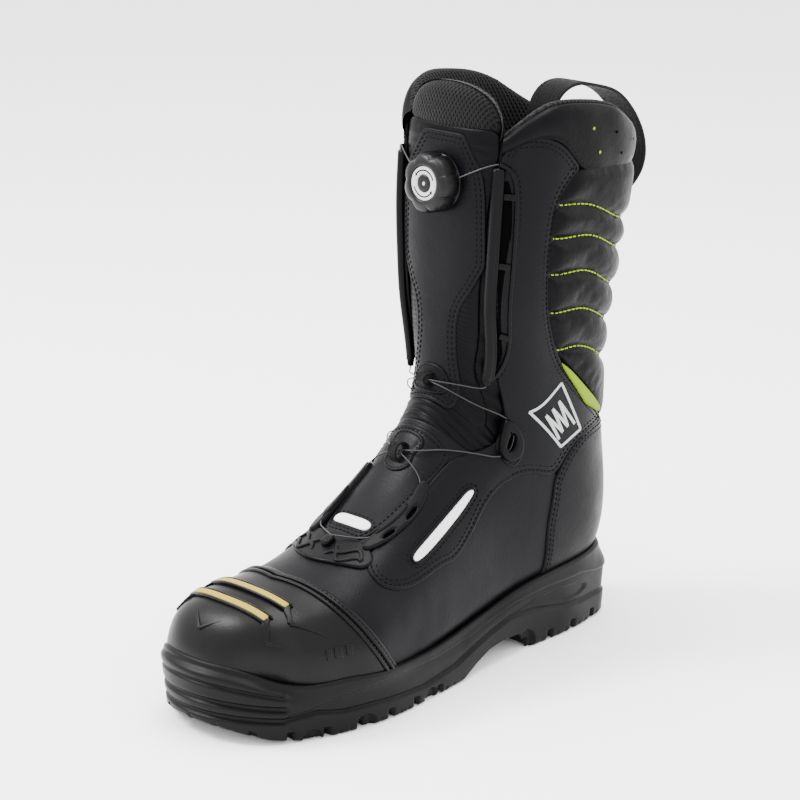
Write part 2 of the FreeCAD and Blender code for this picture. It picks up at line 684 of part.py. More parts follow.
NODES = {
    "outsole": outsole,
    "midsole": midsole,
    "toe_bumper": toe_bumper,
    "shank": shank,
    "puncture_plate": lambda: foot_plate(0.2, 1.2, 7.2),
    "insole_board": lambda: foot_plate(1.5, 3.3, 7.2),
    "footbed": lambda: foot_plate(3.6, 8.0, 11.0),
    "steel_toe_cap": steel_toe_cap,
    "heel_stiffener": lambda: panel(HEEL_STIFFENER, MIDDLE_LAYER, along=41),
    "foot_lining": foot_lining,
    "shaft_lining": lambda: panel(SHAFT_LINING, LINING_LAYER, along=41, across=25),
    "vamp_padding": lambda: panel(VAMP_PADDING, (-4.0, -2.4), along=31, across=21),
    "ankle_pads": lambda: on_both_sides(ANKLE_PAD, MIDDLE_LAYER),
    "shaft_padding": lambda: panel(SHAFT_PADDING, MIDDLE_LAYER, along=41, across=11),
    "toe_guard": toe_guard,
    "front_toe_strip": lambda: toe_strip(3.56, (3.66, 42), (3.66, -42), 0.12),
    "rear_toe_strip": lambda: toe_strip(4.28, (4.55, 40), (4.45, -42), 0.11),
    "vamp": vamp,
    "lateral_shaft_panel": lambda: panel(SHAFT_PANEL, LEATHER_LAYER, along=81, across=11),
    "medial_shaft_panel": lambda: panel(mirrored(SHAFT_PANEL), LEATHER_LAYER, along=81, across=11),
    "heel_counter_cover": lambda: panel(HEEL_COVER, LEATHER_LAYER, along=61),
    "back_pad": lambda: panel(BACK_PAD, (-LEATHER, 1.5), along=31, across=41, centre_rise=1.0),
    "reflex_wedges": lambda: on_both_sides(WEDGE, LEATHER_LAYER),
    "collar_band": lambda: panel(COLLAR_BAND, (-LEATHER, 0.8), along=61),
    "collar_lining": lambda: panel(COLLAR_LINING, COLLAR_LAYER, along=61, across=11),
    "side_reflectors": lambda: on_both_sides(SIDE_REFLECTOR, (GAP, 0.9)),
    "side_badge": lambda: panel(SIDE_BADGE, (GAP, 0.8)),
    "instep_shield": lambda: panel(INSTEP_SHIELD, LEATHER_LAYER),
    "instep_reflector": lambda: panel(INSTEP_REFLECTOR, (GAP, 0.9), along=5, across=15),
    "flex_zone": lambda: panel(FLEX_ZONE, LEATHER_LAYER),
    "tongue_shield": lambda: panel(TONGUE_SHIELD, LEATHER_LAYER, along=41, across=11),
    "tongue_underlay": lambda: panel(TONGUE_UNDERLAY, (-3.6, -2.1)),
    "tongue_pad": lambda: panel(TONGUE_PAD, (-10.5, -3.9), along=41, across=13),
    "tongue_gusset": lambda: on_both_sides(GUSSET, MIDDLE_LAYER),
    "upper_loop_patch": lambda: panel(rows((11.5, -6, 6), (12.9, -6, 6)), (GAP, 1.3)),
    "upper_lace_loop": lambda: lace_loop(12.15),
    "lower_loop_patch": lambda: panel(rows((8.75, -6, 6), (9.75, -7, 7)), (GAP, 1.3)),
    "lower_lace_loop": lambda: lace_loop(9.1),
    "lateral_rail_guide": lambda: bored_guide(RAIL_GUIDE, (GAP, 5.0), *RAIL_RUNS, along=41),
    "medial_rail_guide": lambda: bored_guide(mirrored(RAIL_GUIDE), (GAP, 5.0),
                                             *other_side_runs(RAIL_RUNS), along=41),
    "lateral_ankle_guide": lambda: bored_guide(ANKLE_GUIDE, (1.6, 6.2),
                                               *other_side_runs(ANKLE_RUNS)),
    "medial_ankle_guide": lambda: bored_guide(mirrored(ANKLE_GUIDE), (1.6, 6.2), *ANKLE_RUNS),
    "ankle_guide_tabs": lambda: on_both_sides(ANKLE_TAB, (GAP, 1.3)),
    "lateral_lower_guide": lambda: bored_guide(LOWER_GUIDE, (GAP, 4.8), INSTEP_RUN),
    "medial_lower_guide": lambda: bored_guide(mirrored(LOWER_GUIDE), (GAP, 4.8),
                                              on_other_side(INSTEP_RUN)),
    "toe_guide": toe_guide,
    "pull_loop": pull_loop,
    "pull_loop_patch": lambda: panel(PULL_LOOP_PATCH, (1.3, 2.5)),
    "lace_dial_runs": lambda: group(cable(DIAL_RUN), cable(on_other_side(DIAL_RUN))),
    "lace_rail_runs": lambda: group(cable(RAIL_RUN), cable(on_other_side(RAIL_RUN))),
    "lace_shin_runs": lambda: lace_pair(SHIN_RUN),
    "lace_instep_run": instep_lace,
    "dial_base": dial_base,
    "dial_spool": dial_spool,
    "spool_lace": spool_lace,
    "dial_spring": dial_spring,
    "dial_gear": dial_gear,
    "dial_knob": dial_knob,
    "dial_cap": dial_cap,
    "dial_screw": dial_screw,
}


def main():
    os.makedirs("parts", exist_ok=True)
    for name, make in NODES.items():
        shape = make()
        shape.exportStep(os.path.join("parts", name + ".step"))
        print(name, "solids", len(shape.Solids), "volume", round(shape.Volume), shape.isValid())


main()
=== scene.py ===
import json
import math

import bpy
import numpy as np
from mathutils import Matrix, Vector, geometry


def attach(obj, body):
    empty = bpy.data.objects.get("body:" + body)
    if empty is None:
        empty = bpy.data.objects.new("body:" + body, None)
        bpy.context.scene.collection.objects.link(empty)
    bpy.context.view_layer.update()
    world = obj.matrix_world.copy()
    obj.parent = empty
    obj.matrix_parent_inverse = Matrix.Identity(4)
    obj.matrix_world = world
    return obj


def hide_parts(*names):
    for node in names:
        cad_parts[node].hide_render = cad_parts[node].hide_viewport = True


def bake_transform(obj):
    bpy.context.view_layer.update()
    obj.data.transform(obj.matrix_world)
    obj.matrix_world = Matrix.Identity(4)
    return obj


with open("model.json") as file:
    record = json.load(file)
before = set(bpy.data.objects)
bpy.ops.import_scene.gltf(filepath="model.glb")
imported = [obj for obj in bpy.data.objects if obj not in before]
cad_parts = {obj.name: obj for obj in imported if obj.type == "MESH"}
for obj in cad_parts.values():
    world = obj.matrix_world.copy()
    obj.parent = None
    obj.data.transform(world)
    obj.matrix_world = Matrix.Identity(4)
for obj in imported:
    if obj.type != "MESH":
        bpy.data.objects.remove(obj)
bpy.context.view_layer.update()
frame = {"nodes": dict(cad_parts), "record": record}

# ------------------------------------------------------------------ the boot surface
# Lengths here are millimetres in the frame of the CAD model; mesh() turns them into metres.
# A place on the boot is (station, angle): stations run from the toe tip over the instep and
# up the shaft, angles go round the boot, 0 at the front, 90 outer side, 180 at the back.

MM = 0.001
# station: front (y, z), back or bottom (y, z), outer and inner half width, centre x,
# share of the depth in front of the widest place, roundness of the front and the back
STATIONS = np.array([
    (0, -140, 24, -140, 23, 1, 1, -12, 0.55, 2.0, 2.0),
    (1, -149, 38, -128, 15, 24, 24, -12, 0.55, 2.2, 2.4),
    (2, -146, 53, -116, 14, 36, 35, -11, 0.60, 2.3, 2.8),
    (3, -136, 65, -108, 14, 45, 42, -8, 0.62, 2.4, 3.2),
    (4, -119, 72, -99, 14, 50, 46, -5, 0.64, 2.4, 3.6),
    (5, -99, 75, -88, 14, 52, 47, -3, 0.66, 2.3, 3.8),
    (6, -75, 80, -70, 14, 53, 49, 0, 0.68, 2.3, 4.0),
    (7, -48, 90, -44, 15, 50, 48, 0, 0.69, 2.3, 4.0),
    (8, -22, 106, -16, 18, 46, 45, 0, 0.70, 2.3, 3.8),
    (9, -2, 124, 16, 21, 42, 42, 0, 0.68, 2.2, 3.4),
    (10, 10, 140, 54, 22, 39, 39, 0, 0.64, 2.2, 3.0),
    (11, 17, 152, 98, 23, 39, 38, 0, 0.60, 2.2, 2.8),
    (12, 22, 163, 137, 32, 40, 39, 0, 0.56, 2.3, 2.6),
    (13, 24, 173, 151, 62, 41, 40, 0, 0.52, 2.3, 2.5),
    (14, 25, 184, 149, 100, 42, 41, 0, 0.50, 2.4, 2.4),
    (15, 26, 198, 145, 138, 44, 44, 0, 0.49, 2.5, 2.3),
    (16, 27, 215, 144, 175, 48, 48, 0, 0.48, 2.6, 2.3),
    (17, 28, 237, 149, 210, 51, 51, 0, 0.48, 2.7, 2.3),
    (18, 29, 262, 156, 246, 53, 53, 0, 0.48, 2.8, 2.3),
    (19, 31, 291, 162, 281, 54, 54, 0, 0.48, 2.8, 2.3),
    (20, 34, 324, 168, 318, 55, 56, 0, 0.48, 2.8, 2.3),
    (21, 37, 357, 173, 354, 57, 58, 0, 0.48, 2.8, 2.3),
], float)


def spline(places, values):
    """Natural cubic spline; the result takes an array of places."""
    places = np.asarray(places, float)
    values = np.asarray(values, float)
    step = np.diff(places)
    count = len(places)
    matrix = np.eye(count)
    right = np.zeros_like(values)
    for i in range(1, count - 1):
        matrix[i, i - 1:i + 2] = step[i - 1], 2 * (step[i - 1] + step[i]), step[i]
        right[i] = 6 * ((values[i + 1] - values[i]) / step[i]
                        - (values[i] - values[i - 1]) / step[i - 1])
    bend = np.linalg.solve(matrix, right)

    def value(place):
        place = np.clip(np.asarray(place, float), places[0], places[-1])
        i = np.clip(np.searchsorted(places, place) - 1, 0, count - 2)
        wide = step[i]
        before = places[i + 1] - place
        after = place - places[i]
        if values.ndim > 1:
            wide, before, after = wide[..., None], before[..., None], after[..., None]
        curve = (bend[i] * before ** 3 + bend[i + 1] * after ** 3) / (6 * wide)
        return (curve + (values[i] / wide - bend[i] * wide / 6) * before
                + (values[i + 1] / wide - bend[i + 1] * wide / 6) * after)

    return value


STATION_CURVE = spline(STATIONS[:, 0], STATIONS[:, 1:])


def section_point(station, angle):
    station, angle = np.broadcast_arrays(np.asarray(station, float), np.asarray(angle, float))
    row = STATION_CURVE(station)
    front, back = row[..., 0:2], row[..., 2:4]
    depth = np.linalg.norm(back - front, axis=-1)
    along = (back - front) / depth[..., None]
    turn = np.radians(angle)
    sine, cosine = np.sin(turn), np.cos(turn)
    width = np.where(sine >= 0, row[..., 4], row[..., 5])
    half_depth = np.where(cosine > 0, row[..., 7], 1 - row[..., 7]) * depth
    power = np.where(cosine > 0, row[..., 8], row[..., 9])
    radius = (np.abs(cosine / half_depth) ** power + np.abs(sine / width) ** power) ** (-1 / power)
    reach = row[..., 7] * depth - radius * cosine
    point = np.empty(np.shape(depth) + (3,))
    point[..., 0] = row[..., 6] + radius * sine
    point[..., 1:] = front + along * reach[..., None]
    return point


def slopes(station, angle):
    """Change of the surface point per station and per degree."""
    nudge = 0.02
    low = np.maximum(station - nudge, 0.3)
    across = (section_point(station + nudge, angle) - section_point(low, angle)) / (
        station + nudge - low)[..., None]
    around = (section_point(station, angle + 1) - section_point(station, angle - 1)) / 2
    return across, around


def on_boot(station, angle, height=0.0):
    station, angle = np.broadcast_arrays(np.asarray(station, float), np.asarray(angle, float))
    across, around = slopes(station, angle)
    normal = np.cross(around, across)
    normal /= np.linalg.norm(normal, axis=-1, keepdims=True)
    return section_point(station, angle) + normal * np.asarray(height, float)[..., None]


def unit(vectors):
    return vectors / np.maximum(np.linalg.norm(vectors, axis=-1, keepdims=True), 1e-9)


# ------------------------------------------------------------------ making meshes

def mesh(name, points, faces, material, body, smooth=True, pattern=None):
    """A mesh object from points in millimetres; it rides on a body."""
    data = bpy.data.meshes.new(name)
    data.from_pydata((np.asarray(points) * MM).tolist(), [], [list(f) for f in faces])
    data.validate()
    data.materials.append(material)
    data.polygons.foreach_set("use_smooth", [smooth] * len(data.polygons))
    if pattern is not None:
        layer = data.attributes.new("pattern", "FLOAT_VECTOR", "POINT")
        layer.data.foreach_set("vector", np.asarray(pattern, np.float32).ravel())
    piece = bpy.data.objects.new(name, data)
    bpy.context.scene.collection.objects.link(piece)
    if body:
        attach(piece, body)
    return piece


def grid_faces(rows, columns, close_rows=False, close_columns=False, start=0):
    faces = []
    for i in range(rows if close_rows else rows - 1):
        for j in range(columns if close_columns else columns - 1):
            a = start + i * columns + j
            b = start + i * columns + (j + 1) % columns
            c = start + ((i + 1) % rows) * columns + (j + 1) % columns
            d = start + ((i + 1) % rows) * columns + j
            faces.append((a, b, c, d))
    return faces


def flip(faces):
    return [tuple(reversed(face)) for face in faces]


def resample(path, step, closed=False):
    """Even points along a path of (station, angle), measured on the surface."""
    path = np.asarray(path, float)
    if closed:
        path = np.vstack([path, path[:1]])
    points = section_point(path[:, 0], path[:, 1])
    run = np.concatenate([[0], np.cumsum(np.linalg.norm(np.diff(points, axis=0), axis=1))])
    count = max(int(round(run[-1] / step)), 3)
    places = np.linspace(0, run[-1], count + 1)
    if closed:
        places = places[:-1]
    return np.stack([np.interp(places, run, path[:, k]) for k in (0, 1)], axis=1)


def rounded(points, closed=True, sharp=None):
    """Smooth path through the middles of a rough outline; sharp lists corners to keep, in mm."""
    sharp = sharp or {}
    points = np.asarray(points, float)
    places = section_point(points[:, 0], points[:, 1])
    count = len(points)
    path = []
    indices = range(count) if closed else range(1, count - 1)
    if not closed:
        path.append(points[0])
    for i in indices:
        before, after = points[i - 1], points[(i + 1) % count]
        len_before = np.linalg.norm(places[i] - places[i - 1])
        len_after = np.linalg.norm(places[(i + 1) % count] - places[i])
        limit = sharp.get(i, 1e9)
        start = points[i] + (before - points[i]) * min(0.48, limit / max(len_before, 1e-6))
        end = points[i] + (after - points[i]) * min(0.48, limit / max(len_after, 1e-6))
        for t in np.linspace(0, 1, 7):
            path.append(start * (1 - t) ** 2 + points[i] * 2 * t * (1 - t) + end * t * t)
    if not closed:
        path.append(points[-1])
    return np.array(path)


def sideways(path, distance, closed=False):
    """Path moved sideways on the surface; positive is to the left as seen from outside."""
    path = np.asarray(path, float)
    points = section_point(path[:, 0], path[:, 1])
    if closed:
        along = np.roll(points, -1, axis=0) - np.roll(points, 1, axis=0)
    else:
        along = np.gradient(points, axis=0)
    across, around = slopes(path[:, 0], path[:, 1])
    normal = unit(np.cross(around, across))
    side = unit(np.cross(normal, unit(along))) * np.asarray(distance, float).reshape(-1, 1)
    e = np.sum(across * across, axis=1)
    f = np.sum(across * around, axis=1)
    g = np.sum(around * around, axis=1)
    p = np.sum(side * across, axis=1)
    q = np.sum(side * around, axis=1)
    size = e * g - f * f
    return path + np.stack([(p * g - q * f) / size, (q * e - p * f) / size], axis=1)


CHART = np.array([18.0, 0.9])    # rough millimetres per station and per degree


def chart_area(path):
    p = path * CHART
    return 0.5 * np.sum(p[:, 0] * np.roll(p[:, 1], -1) - np.roll(p[:, 0], -1) * p[:, 1])


def edge_distance(path, loops):
    """Distance of each place to the nearest outline, on the surface."""
    points = section_point(path[:, 0], path[:, 1])
    best = np.full(len(path), 1e9)
    for loop in loops:
        ends = section_point(loop[:, 0], loop[:, 1])
        for start, end in zip(ends, np.roll(ends, -1, axis=0)):
            line = end - start
            t = np.clip((points - start) @ line / max(line @ line, 1e-9), 0, 1)
            gap = np.linalg.norm(points - (start + t[:, None] * line), axis=1)
            best = np.minimum(best, gap)
    return best


def inside(places, loop):
    """Even-odd test in the (station, angle) plane."""
    x, y = places[:, 0], places[:, 1]
    hit = np.zeros(len(places), bool)
    for (x0, y0), (x1, y1) in zip(loop, np.roll(loop, -1, axis=0)):
        crosses = (y0 > y) != (y1 > y)
        with np.errstate(divide="ignore", invalid="ignore"):
            at = (x1 - x0) * (y - y0) / (y1 - y0) + x0
        hit ^= crosses & (x < at)
    return hit


def counter_clockwise(path):
    return path if chart_area(path) > 0 else path[::-1]


EDGE_RINGS = (0.45, 1.0, 1.8, 2.6, 3.4)


def edge_profile(distance, groove):
    """Share of the full thickness near a cut edge, with the dip that a stitch row pulls."""
    rise = 0.42 + 0.58 * np.sqrt(np.clip(1 - (1 - np.clip(distance / 1.1, 0, 1)) ** 2, 0, 1))
    dip = np.exp(-((distance - 2.6) / 0.7) ** 2) * groove
    return rise - dip


def panel(name, outline, top, thick, material, body, slot, sharp=None, holes=(), groove=0.12,
          lift=None, step=1.6, fill=(0.15, 4.0), skirt=0.5):
    """A cut piece of leather or film with a rounded edge, lying on the boot surface.

    top is the height of its face, thick its visible thickness; lift adds to the height.
    """
    loop = counter_clockwise(resample(rounded(outline, sharp=sharp), step, closed=True))
    loops = [loop]
    for hole in holes:
        loops.append(counter_clockwise(resample(rounded(hole), step, closed=True))[::-1])
    places = [place for each in loops for place in each]
    edges = []
    start = 0
    for each in loops:
        edges += [(start + i, start + (i + 1) % len(each)) for i in range(len(each))]
        start += len(each)
    extra = []
    for inset in EDGE_RINGS:
        for each in loops:
            ring = sideways(each, np.full(len(each), -inset), closed=True)
            other = sideways(each, np.full(len(each), inset), closed=True)
            for candidate in (ring, other):
                good = inside(candidate, loop)
                for hole in loops[1:]:
                    good &= ~inside(candidate, hole)
                good &= edge_distance(candidate, loops) > 0.95 * inset
                extra.append(candidate[good])
    low, high = loop.min(axis=0), loop.max(axis=0)
    stations = np.arange(low[0], high[0], fill[0])
    angles = np.arange(low[1], high[1], fill[1])
    field = np.array([(s + (k % 2) * fill[0] / 2, a) for k, a in enumerate(angles) for s in stations])
    good = inside(field, loop)
    for hole in loops[1:]:
        good &= ~inside(field, hole)
    field = field[good]
    if len(field):
        field = field[edge_distance(field, loops) > EDGE_RINGS[-1] + 1.2]
        extra.append(field)
    places = np.vstack([np.array(places)] + [e for e in extra if len(e)])
    flat = [Vector(p) for p in (places * CHART).tolist()]
    out = geometry.delaunay_2d_cdt(flat, edges, [], 1, 1e-5, False)
    found = np.array([tuple(p) for p in out[0]]) / CHART
    faces = [tuple(f) for f in out[2]]
    middles = np.array([found[list(f)].mean(axis=0) for f in faces])
    keep = inside(middles, loop)
    for hole in loops[1:]:
        keep &= ~inside(middles, hole)
    faces = [f for f, k in zip(faces, keep) if k]
    distance = edge_distance(found, loops)
    height = top - thick + thick * edge_profile(distance, groove)
    if lift is not None:
        height = height + lift(found[:, 0], found[:, 1], distance)
    points = on_boot(found[:, 0], found[:, 1], height)
    # the side wall hangs from the rim down to just under the layer below
    count = {}
    for face in faces:
        for a, b in zip(face, face[1:] + face[:1]):
            count[(a, b)] = count.get((a, b), 0) + 1
    rim = [(a, b) for (a, b) in count if (b, a) not in count]
    used = sorted({a for pair in rim for a in pair})
    lower = {a: len(points) + k for k, a in enumerate(used)}
    foot = on_boot(found[used, 0], found[used, 1], np.full(len(used), top - thick - skirt))
    points = np.vstack([points, foot])
    walls = [(b, a, lower[a], lower[b]) for a, b in rim]
    # faces must look outwards
    first = faces[0]
    normal = np.cross(points[first[1]] - points[first[0]], points[first[2]] - points[first[0]])
    spot = found[first[0]]
    outward = on_boot(spot[0], spot[1], 1.0) - on_boot(spot[0], spot[1], 0.0)
    every = faces + walls
    if normal @ outward < 0:
        every = flip(every)
    piece = mesh(name, points, every, material, body)
    return piece, loop


def stitches(name, paths, height, material, body, pitch=3.1, length=2.3, radius=0.3,
             where=None):
    """Sewn thread: short rounded lengths that dip into the leather at both ends."""
    ring = np.radians(np.arange(0, 360, 60))
    along = np.array([-0.5, -0.3, 0.3, 0.5]) * length
    size = np.array([0.55, 1.0, 1.0, 0.55]) * radius
    sink = np.array([-0.45, 0.0, 0.0, -0.45])
    points, faces = [], []
    for path, closed in paths:
        spots = resample(path, pitch, closed=closed)
        if where is not None:
            spots_keep = where(spots[:, 0], spots[:, 1])
        else:
            spots_keep = np.ones(len(spots), bool)
        centre = on_boot(spots[:, 0], spots[:, 1], height)
        above = on_boot(spots[:, 0], spots[:, 1], height + 1.0)
        if closed:
            direction = unit(np.roll(centre, -1, axis=0) - np.roll(centre, 1, axis=0))
        else:
            direction = unit(np.gradient(centre, axis=0))
        normal = unit(above - centre)
        side = np.cross(direction, normal)
        for i in np.nonzero(spots_keep)[0]:
            start = len(points)
            for a, r, s in zip(along, size, sink):
                middle = centre[i] + direction[i] * a + normal[i] * s
                for turn in ring:
                    points.append(middle + side[i] * r * math.cos(turn) + normal[i] * r * math.sin(turn))
            faces += grid_faces(4, 6, close_columns=True, start=start)
    return mesh(name, points, faces, material, body)


def sweep(path, section, ends=True, scale=None, twist=0.0):
    """Points and faces of a section swept along (station, angle, height) places.

    section lists (sideways, up) in millimetres, anticlockwise seen along the path.
    """
    path = np.asarray(path, float)
    points = on_boot(path[:, 0], path[:, 1], path[:, 2])
    above = on_boot(path[:, 0], path[:, 1], path[:, 2] + 1)
    return sweep_points(points, unit(above - points), section, ends, scale)


def sweep_points(points, normal, section, ends=True, scale=None):
    direction = unit(np.gradient(points, axis=0))
    side = unit(np.cross(direction, normal))
    up = np.cross(side, direction)
    section = np.asarray(section, float)
    scale = np.ones(len(points)) if scale is None else np.asarray(scale, float)
    verts = []
    for p, s, u, k in zip(points, side, up, scale):
        verts += [p + s * a * k + u * b * k for a, b in section]
    faces = grid_faces(len(points), len(section), close_columns=True)
    if ends:
        faces.append(tuple(range(len(section)))[::-1])
        last = (len(points) - 1) * len(section)
        faces.append(tuple(last + k for k in range(len(section))))
    return np.array(verts), faces


def bar_section(width, height, corner=0.8, low=0.0):
    """Rounded bar on the surface: flat below, corners rounded above."""
    w, c = width / 2, corner
    turn = np.radians(np.linspace(0, 90, 5))
    right = [(w - c + c * math.cos(t), height - c + c * math.sin(t)) for t in turn]
    left = [(-x, y) for x, y in right[::-1]]
    return [(-w, low), (w, low)] + right + left


def smooth_path(points, count):
    """Even spline through given (station, angle[, height]) points."""
    points = np.asarray(points, float)
    curve = spline(np.arange(len(points)), points)
    return curve(np.linspace(0, len(points) - 1, count))


def join(parts):
    points, faces = [], []
    start = 0
    for some_points, some_faces in parts:
        points.append(np.asarray(some_points))
        faces += [tuple(v + start for v in face) for face in some_faces]
        start += len(some_points)
    return np.vstack(points), faces


def rounded_ends(count, share=0.06):
    """Scale along a bar that closes it softly at both ends."""
    t = np.linspace(0, 1, count)
    edge = np.clip(np.minimum(t, 1 - t) / share, 0, 1)
    return 0.25 + 0.75 * np.sqrt(1 - (1 - edge) ** 2)


# ------------------------------------------------------------------ materials

def material(name, colour, roughness, specular=0.5, metallic=0.0, coat=0.0, sheen=0.0):
    made = bpy.data.materials.new(name)
    made.use_nodes = True
    shader = made.node_tree.nodes["Principled BSDF"]
    shader.inputs["Base Color"].default_value = (*colour, 1)
    shader.inputs["Roughness"].default_value = roughness
    shader.inputs["Specular IOR Level"].default_value = specular
    shader.inputs["Metallic"].default_value = metallic
    shader.inputs["Coat Weight"].default_value = coat
    shader.inputs["Coat Roughness"].default_value = 0.25
    shader.inputs["Sheen Weight"].default_value = sheen
    shader.inputs["Sheen Roughness"].default_value = 0.5
    return made


def node(made, kind, **values):
    added = made.node_tree.nodes.new(kind)
    for key, value in values.items():
        if key in added.inputs:
            added.inputs[key].default_value = value
        else:
            setattr(added, key, value)
    return added


def link(made, source, output, target, into):
    made.node_tree.links.new(source.outputs[output], target.inputs[into])


def add_bump(made, height_node, output, depth, before=None):
    """Bump of that depth in millimetres; before is a bump node that it adds to."""
    bump = node(made, "ShaderNodeBump", Strength=1.0, Distance=depth * MM)
    link(made, height_node, output, bump, "Height")
    if before:
        link(made, before, "Normal", bump, "Normal")
    link(made, bump, "Normal", made.node_tree.nodes["Principled BSDF"], "Normal")
    return bump


def grained(made, cell, depth, wave=30.0, wave_depth=0.5, variation=0.08):
    """Leather grain: cells of that size over a slow unevenness; sizes in millimetres."""
    place = node(made, "ShaderNodeTexCoord")
    slow = node(made, "ShaderNodeTexNoise", Scale=1000.0 / wave, Detail=4.0, Roughness=0.55)
    link(made, place, "Object", slow, "Vector")
    bump = add_bump(made, slow, "Fac", wave_depth)
    cells = node(made, "ShaderNodeTexVoronoi", Scale=1000.0 / cell, Randomness=1.0)
    link(made, place, "Object", cells, "Vector")
    fine = node(made, "ShaderNodeTexNoise", Scale=3500.0 / cell, Detail=3.0)
    link(made, place, "Object", fine, "Vector")
    both = node(made, "ShaderNodeMath", operation="MULTIPLY_ADD")
    both.inputs[1].default_value = 0.5
    link(made, fine, "Fac", both, 0)
    link(made, cells, "Distance", both, 2)
    add_bump(made, both, "Value", -depth, bump)
    shader = made.node_tree.nodes["Principled BSDF"]
    base = shader.inputs["Roughness"].default_value
    ramp = node(made, "ShaderNodeMapRange")
    ramp.inputs["From Min"].default_value = 0.3
    ramp.inputs["From Max"].default_value = 0.7
    ramp.inputs["To Min"].default_value = base - variation
    ramp.inputs["To Max"].default_value = base + variation
    link(made, slow, "Fac", ramp, "Value")
    link(made, ramp, "Result", shader, "Roughness")
    return made


def holed(made, pitch, depth, hole_shade_colour, thread_colour):
    """Spacer mesh: rows of small round holes, offset every other row; the holes get a darker colour as painted shade.
    """
    place = node(made, "ShaderNodeAttribute", attribute_name="pattern")
    nearest = None
    for shift in ((0.0, 0.0), (0.5, 0.5)):
        move = node(made, "ShaderNodeMapping")
        move.inputs["Scale"].default_value = (1 / pitch, 1 / (1.7 * pitch), 0)
        move.inputs["Location"].default_value = (*shift, 0)
        link(made, place, "Vector", move, "Vector")
        cell = node(made, "ShaderNodeTexVoronoi", voronoi_dimensions="2D", Scale=1.0, Randomness=0.0)
        link(made, move, "Vector", cell, "Vector")
        if nearest is None:
            nearest = cell
        else:
            least = node(made, "ShaderNodeMath", operation="MINIMUM")
            link(made, nearest, "Distance", least, 0)
            link(made, cell, "Distance", least, 1)
    ramp = node(made, "ShaderNodeMapRange", interpolation_type="SMOOTHSTEP")
    ramp.inputs["From Min"].default_value = 0.12
    ramp.inputs["From Max"].default_value = 0.34
    link(made, least, "Value", ramp, "Value")
    # The holes get a much darker colour than the threads: painted shade inside the holes.
    mix = node(made, "ShaderNodeMix", data_type="RGBA")
    mix.inputs["A"].default_value = (*hole_shade_colour, 1)
    mix.inputs["B"].default_value = (*thread_colour, 1)
    link(made, ramp, "Result", mix, "Factor")
    made.node_tree.links.new(mix.outputs[2], made.node_tree.nodes["Principled BSDF"].inputs["Base Color"])
    add_bump(made, ramp, "Result", depth)
    return made


def woven(made, pitch, depth):
    """Ribbed webbing: bands across the strip."""
    place = node(made, "ShaderNodeAttribute", attribute_name="pattern")
    wave = node(made, "ShaderNodeTexWave", wave_type="BANDS", bands_direction="Y", Scale=6.2832 / pitch / 6.2832 * 3.1416)
    link(made, place, "Vector", wave, "Vector")
    across = node(made, "ShaderNodeTexWave", wave_type="BANDS", bands_direction="X", Scale=3.1416 / pitch)
    link(made, place, "Vector", across, "Vector")
    product = node(made, "ShaderNodeMath", operation="MULTIPLY")
    link(made, wave, "Fac", product, 0)
    link(made, across, "Fac", product, 1)
    add_bump(made, product, "Value", depth)
    return made


BLACK = (0.0015, 0.0015, 0.0022)
LEATHER = grained(material("smooth leather", BLACK, 0.40, 0.07), 1.5, 0.05, 26.0, 0.35)
SOFT_LEATHER = grained(material("soft grained leather", (0.0012, 0.0012, 0.0016), 0.40, 0.05), 1.9, 0.06, 14.0, 0.4)
TOE_LEATHER = grained(material("toe leather", (0.002, 0.002, 0.0023), 0.34, 0.1), 1.1, 0.03, 30.0, 0.2)
RUBBER = grained(material("sole rubber", (0.0022, 0.0022, 0.0025), 0.40, 0.08), 0.8, 0.03, 20.0, 0.1)
THREAD = material("black thread", (0.0006, 0.0006, 0.0007), 0.5, 0.05)
NEON_THREAD = material("neon thread", (0.22, 0.33, 0.0), 0.5, 0.15)
NEON = grained(material("neon film", (0.14, 0.22, 0.0), 0.55, 0.1), 0.6, 0.04, 20.0, 0.05)
REFLECTIVE = grained(material("reflective film", (0.7, 0.7, 0.7), 0.45, 0.3), 0.5, 0.03, 20.0, 0.05)
STRIP = grained(material("yellow strip", (0.27, 0.2, 0.025), 0.5, 0.15), 0.5, 0.02, 20.0, 0.05)
BADGE = material("grey print", (0.34, 0.35, 0.35), 0.5, 0.3)
PLASTIC = grained(material("moulded plastic", (0.0014, 0.0014, 0.0018), 0.36, 0.07), 0.5, 0.02, 20.0, 0.05)
DIAL_PLASTIC = grained(material("dial plastic", (0.0025, 0.0025, 0.0028), 0.36, 0.16), 0.45, 0.03, 20.0, 0.03)
LABEL = material("white label", (0.42, 0.42, 0.44), 0.45, 0.3)
STEEL = material("steel", (0.55, 0.55, 0.56), 0.25, metallic=1.0)
LACE = material("coated lace", (0.012, 0.012, 0.013), 0.35, 0.3)
# The hole colours of both meshes are painted shade; the thread colours are the fabric's own.
MESH = holed(material("spacer mesh", (0.003, 0.003, 0.0034), 0.6, 0.06, sheen=0.02), 2.6, 0.8,
             (0.0003, 0.0003, 0.0003), (0.0042, 0.0042, 0.0047))
LINING = holed(material("lining mesh", (0.003, 0.003, 0.0034), 0.65, 0.06, sheen=0.02), 3.2, 0.6,
               (0.0004, 0.0004, 0.0004), (0.004, 0.004, 0.0044))
WEBBING = woven(material("webbing", (0.0022, 0.0022, 0.0025), 0.55, 0.06, sheen=0.02), 1.0, 0.35)
# Near-black colour: painted shade in the collar vent holes and in the guides' slits, slots and recess floors; also
# the dark print of the dial arrows.
HOLE_SHADE_AND_PRINT = material("painted shade and dark print", (0.0006, 0.0006, 0.0006), 0.9, 0.02)

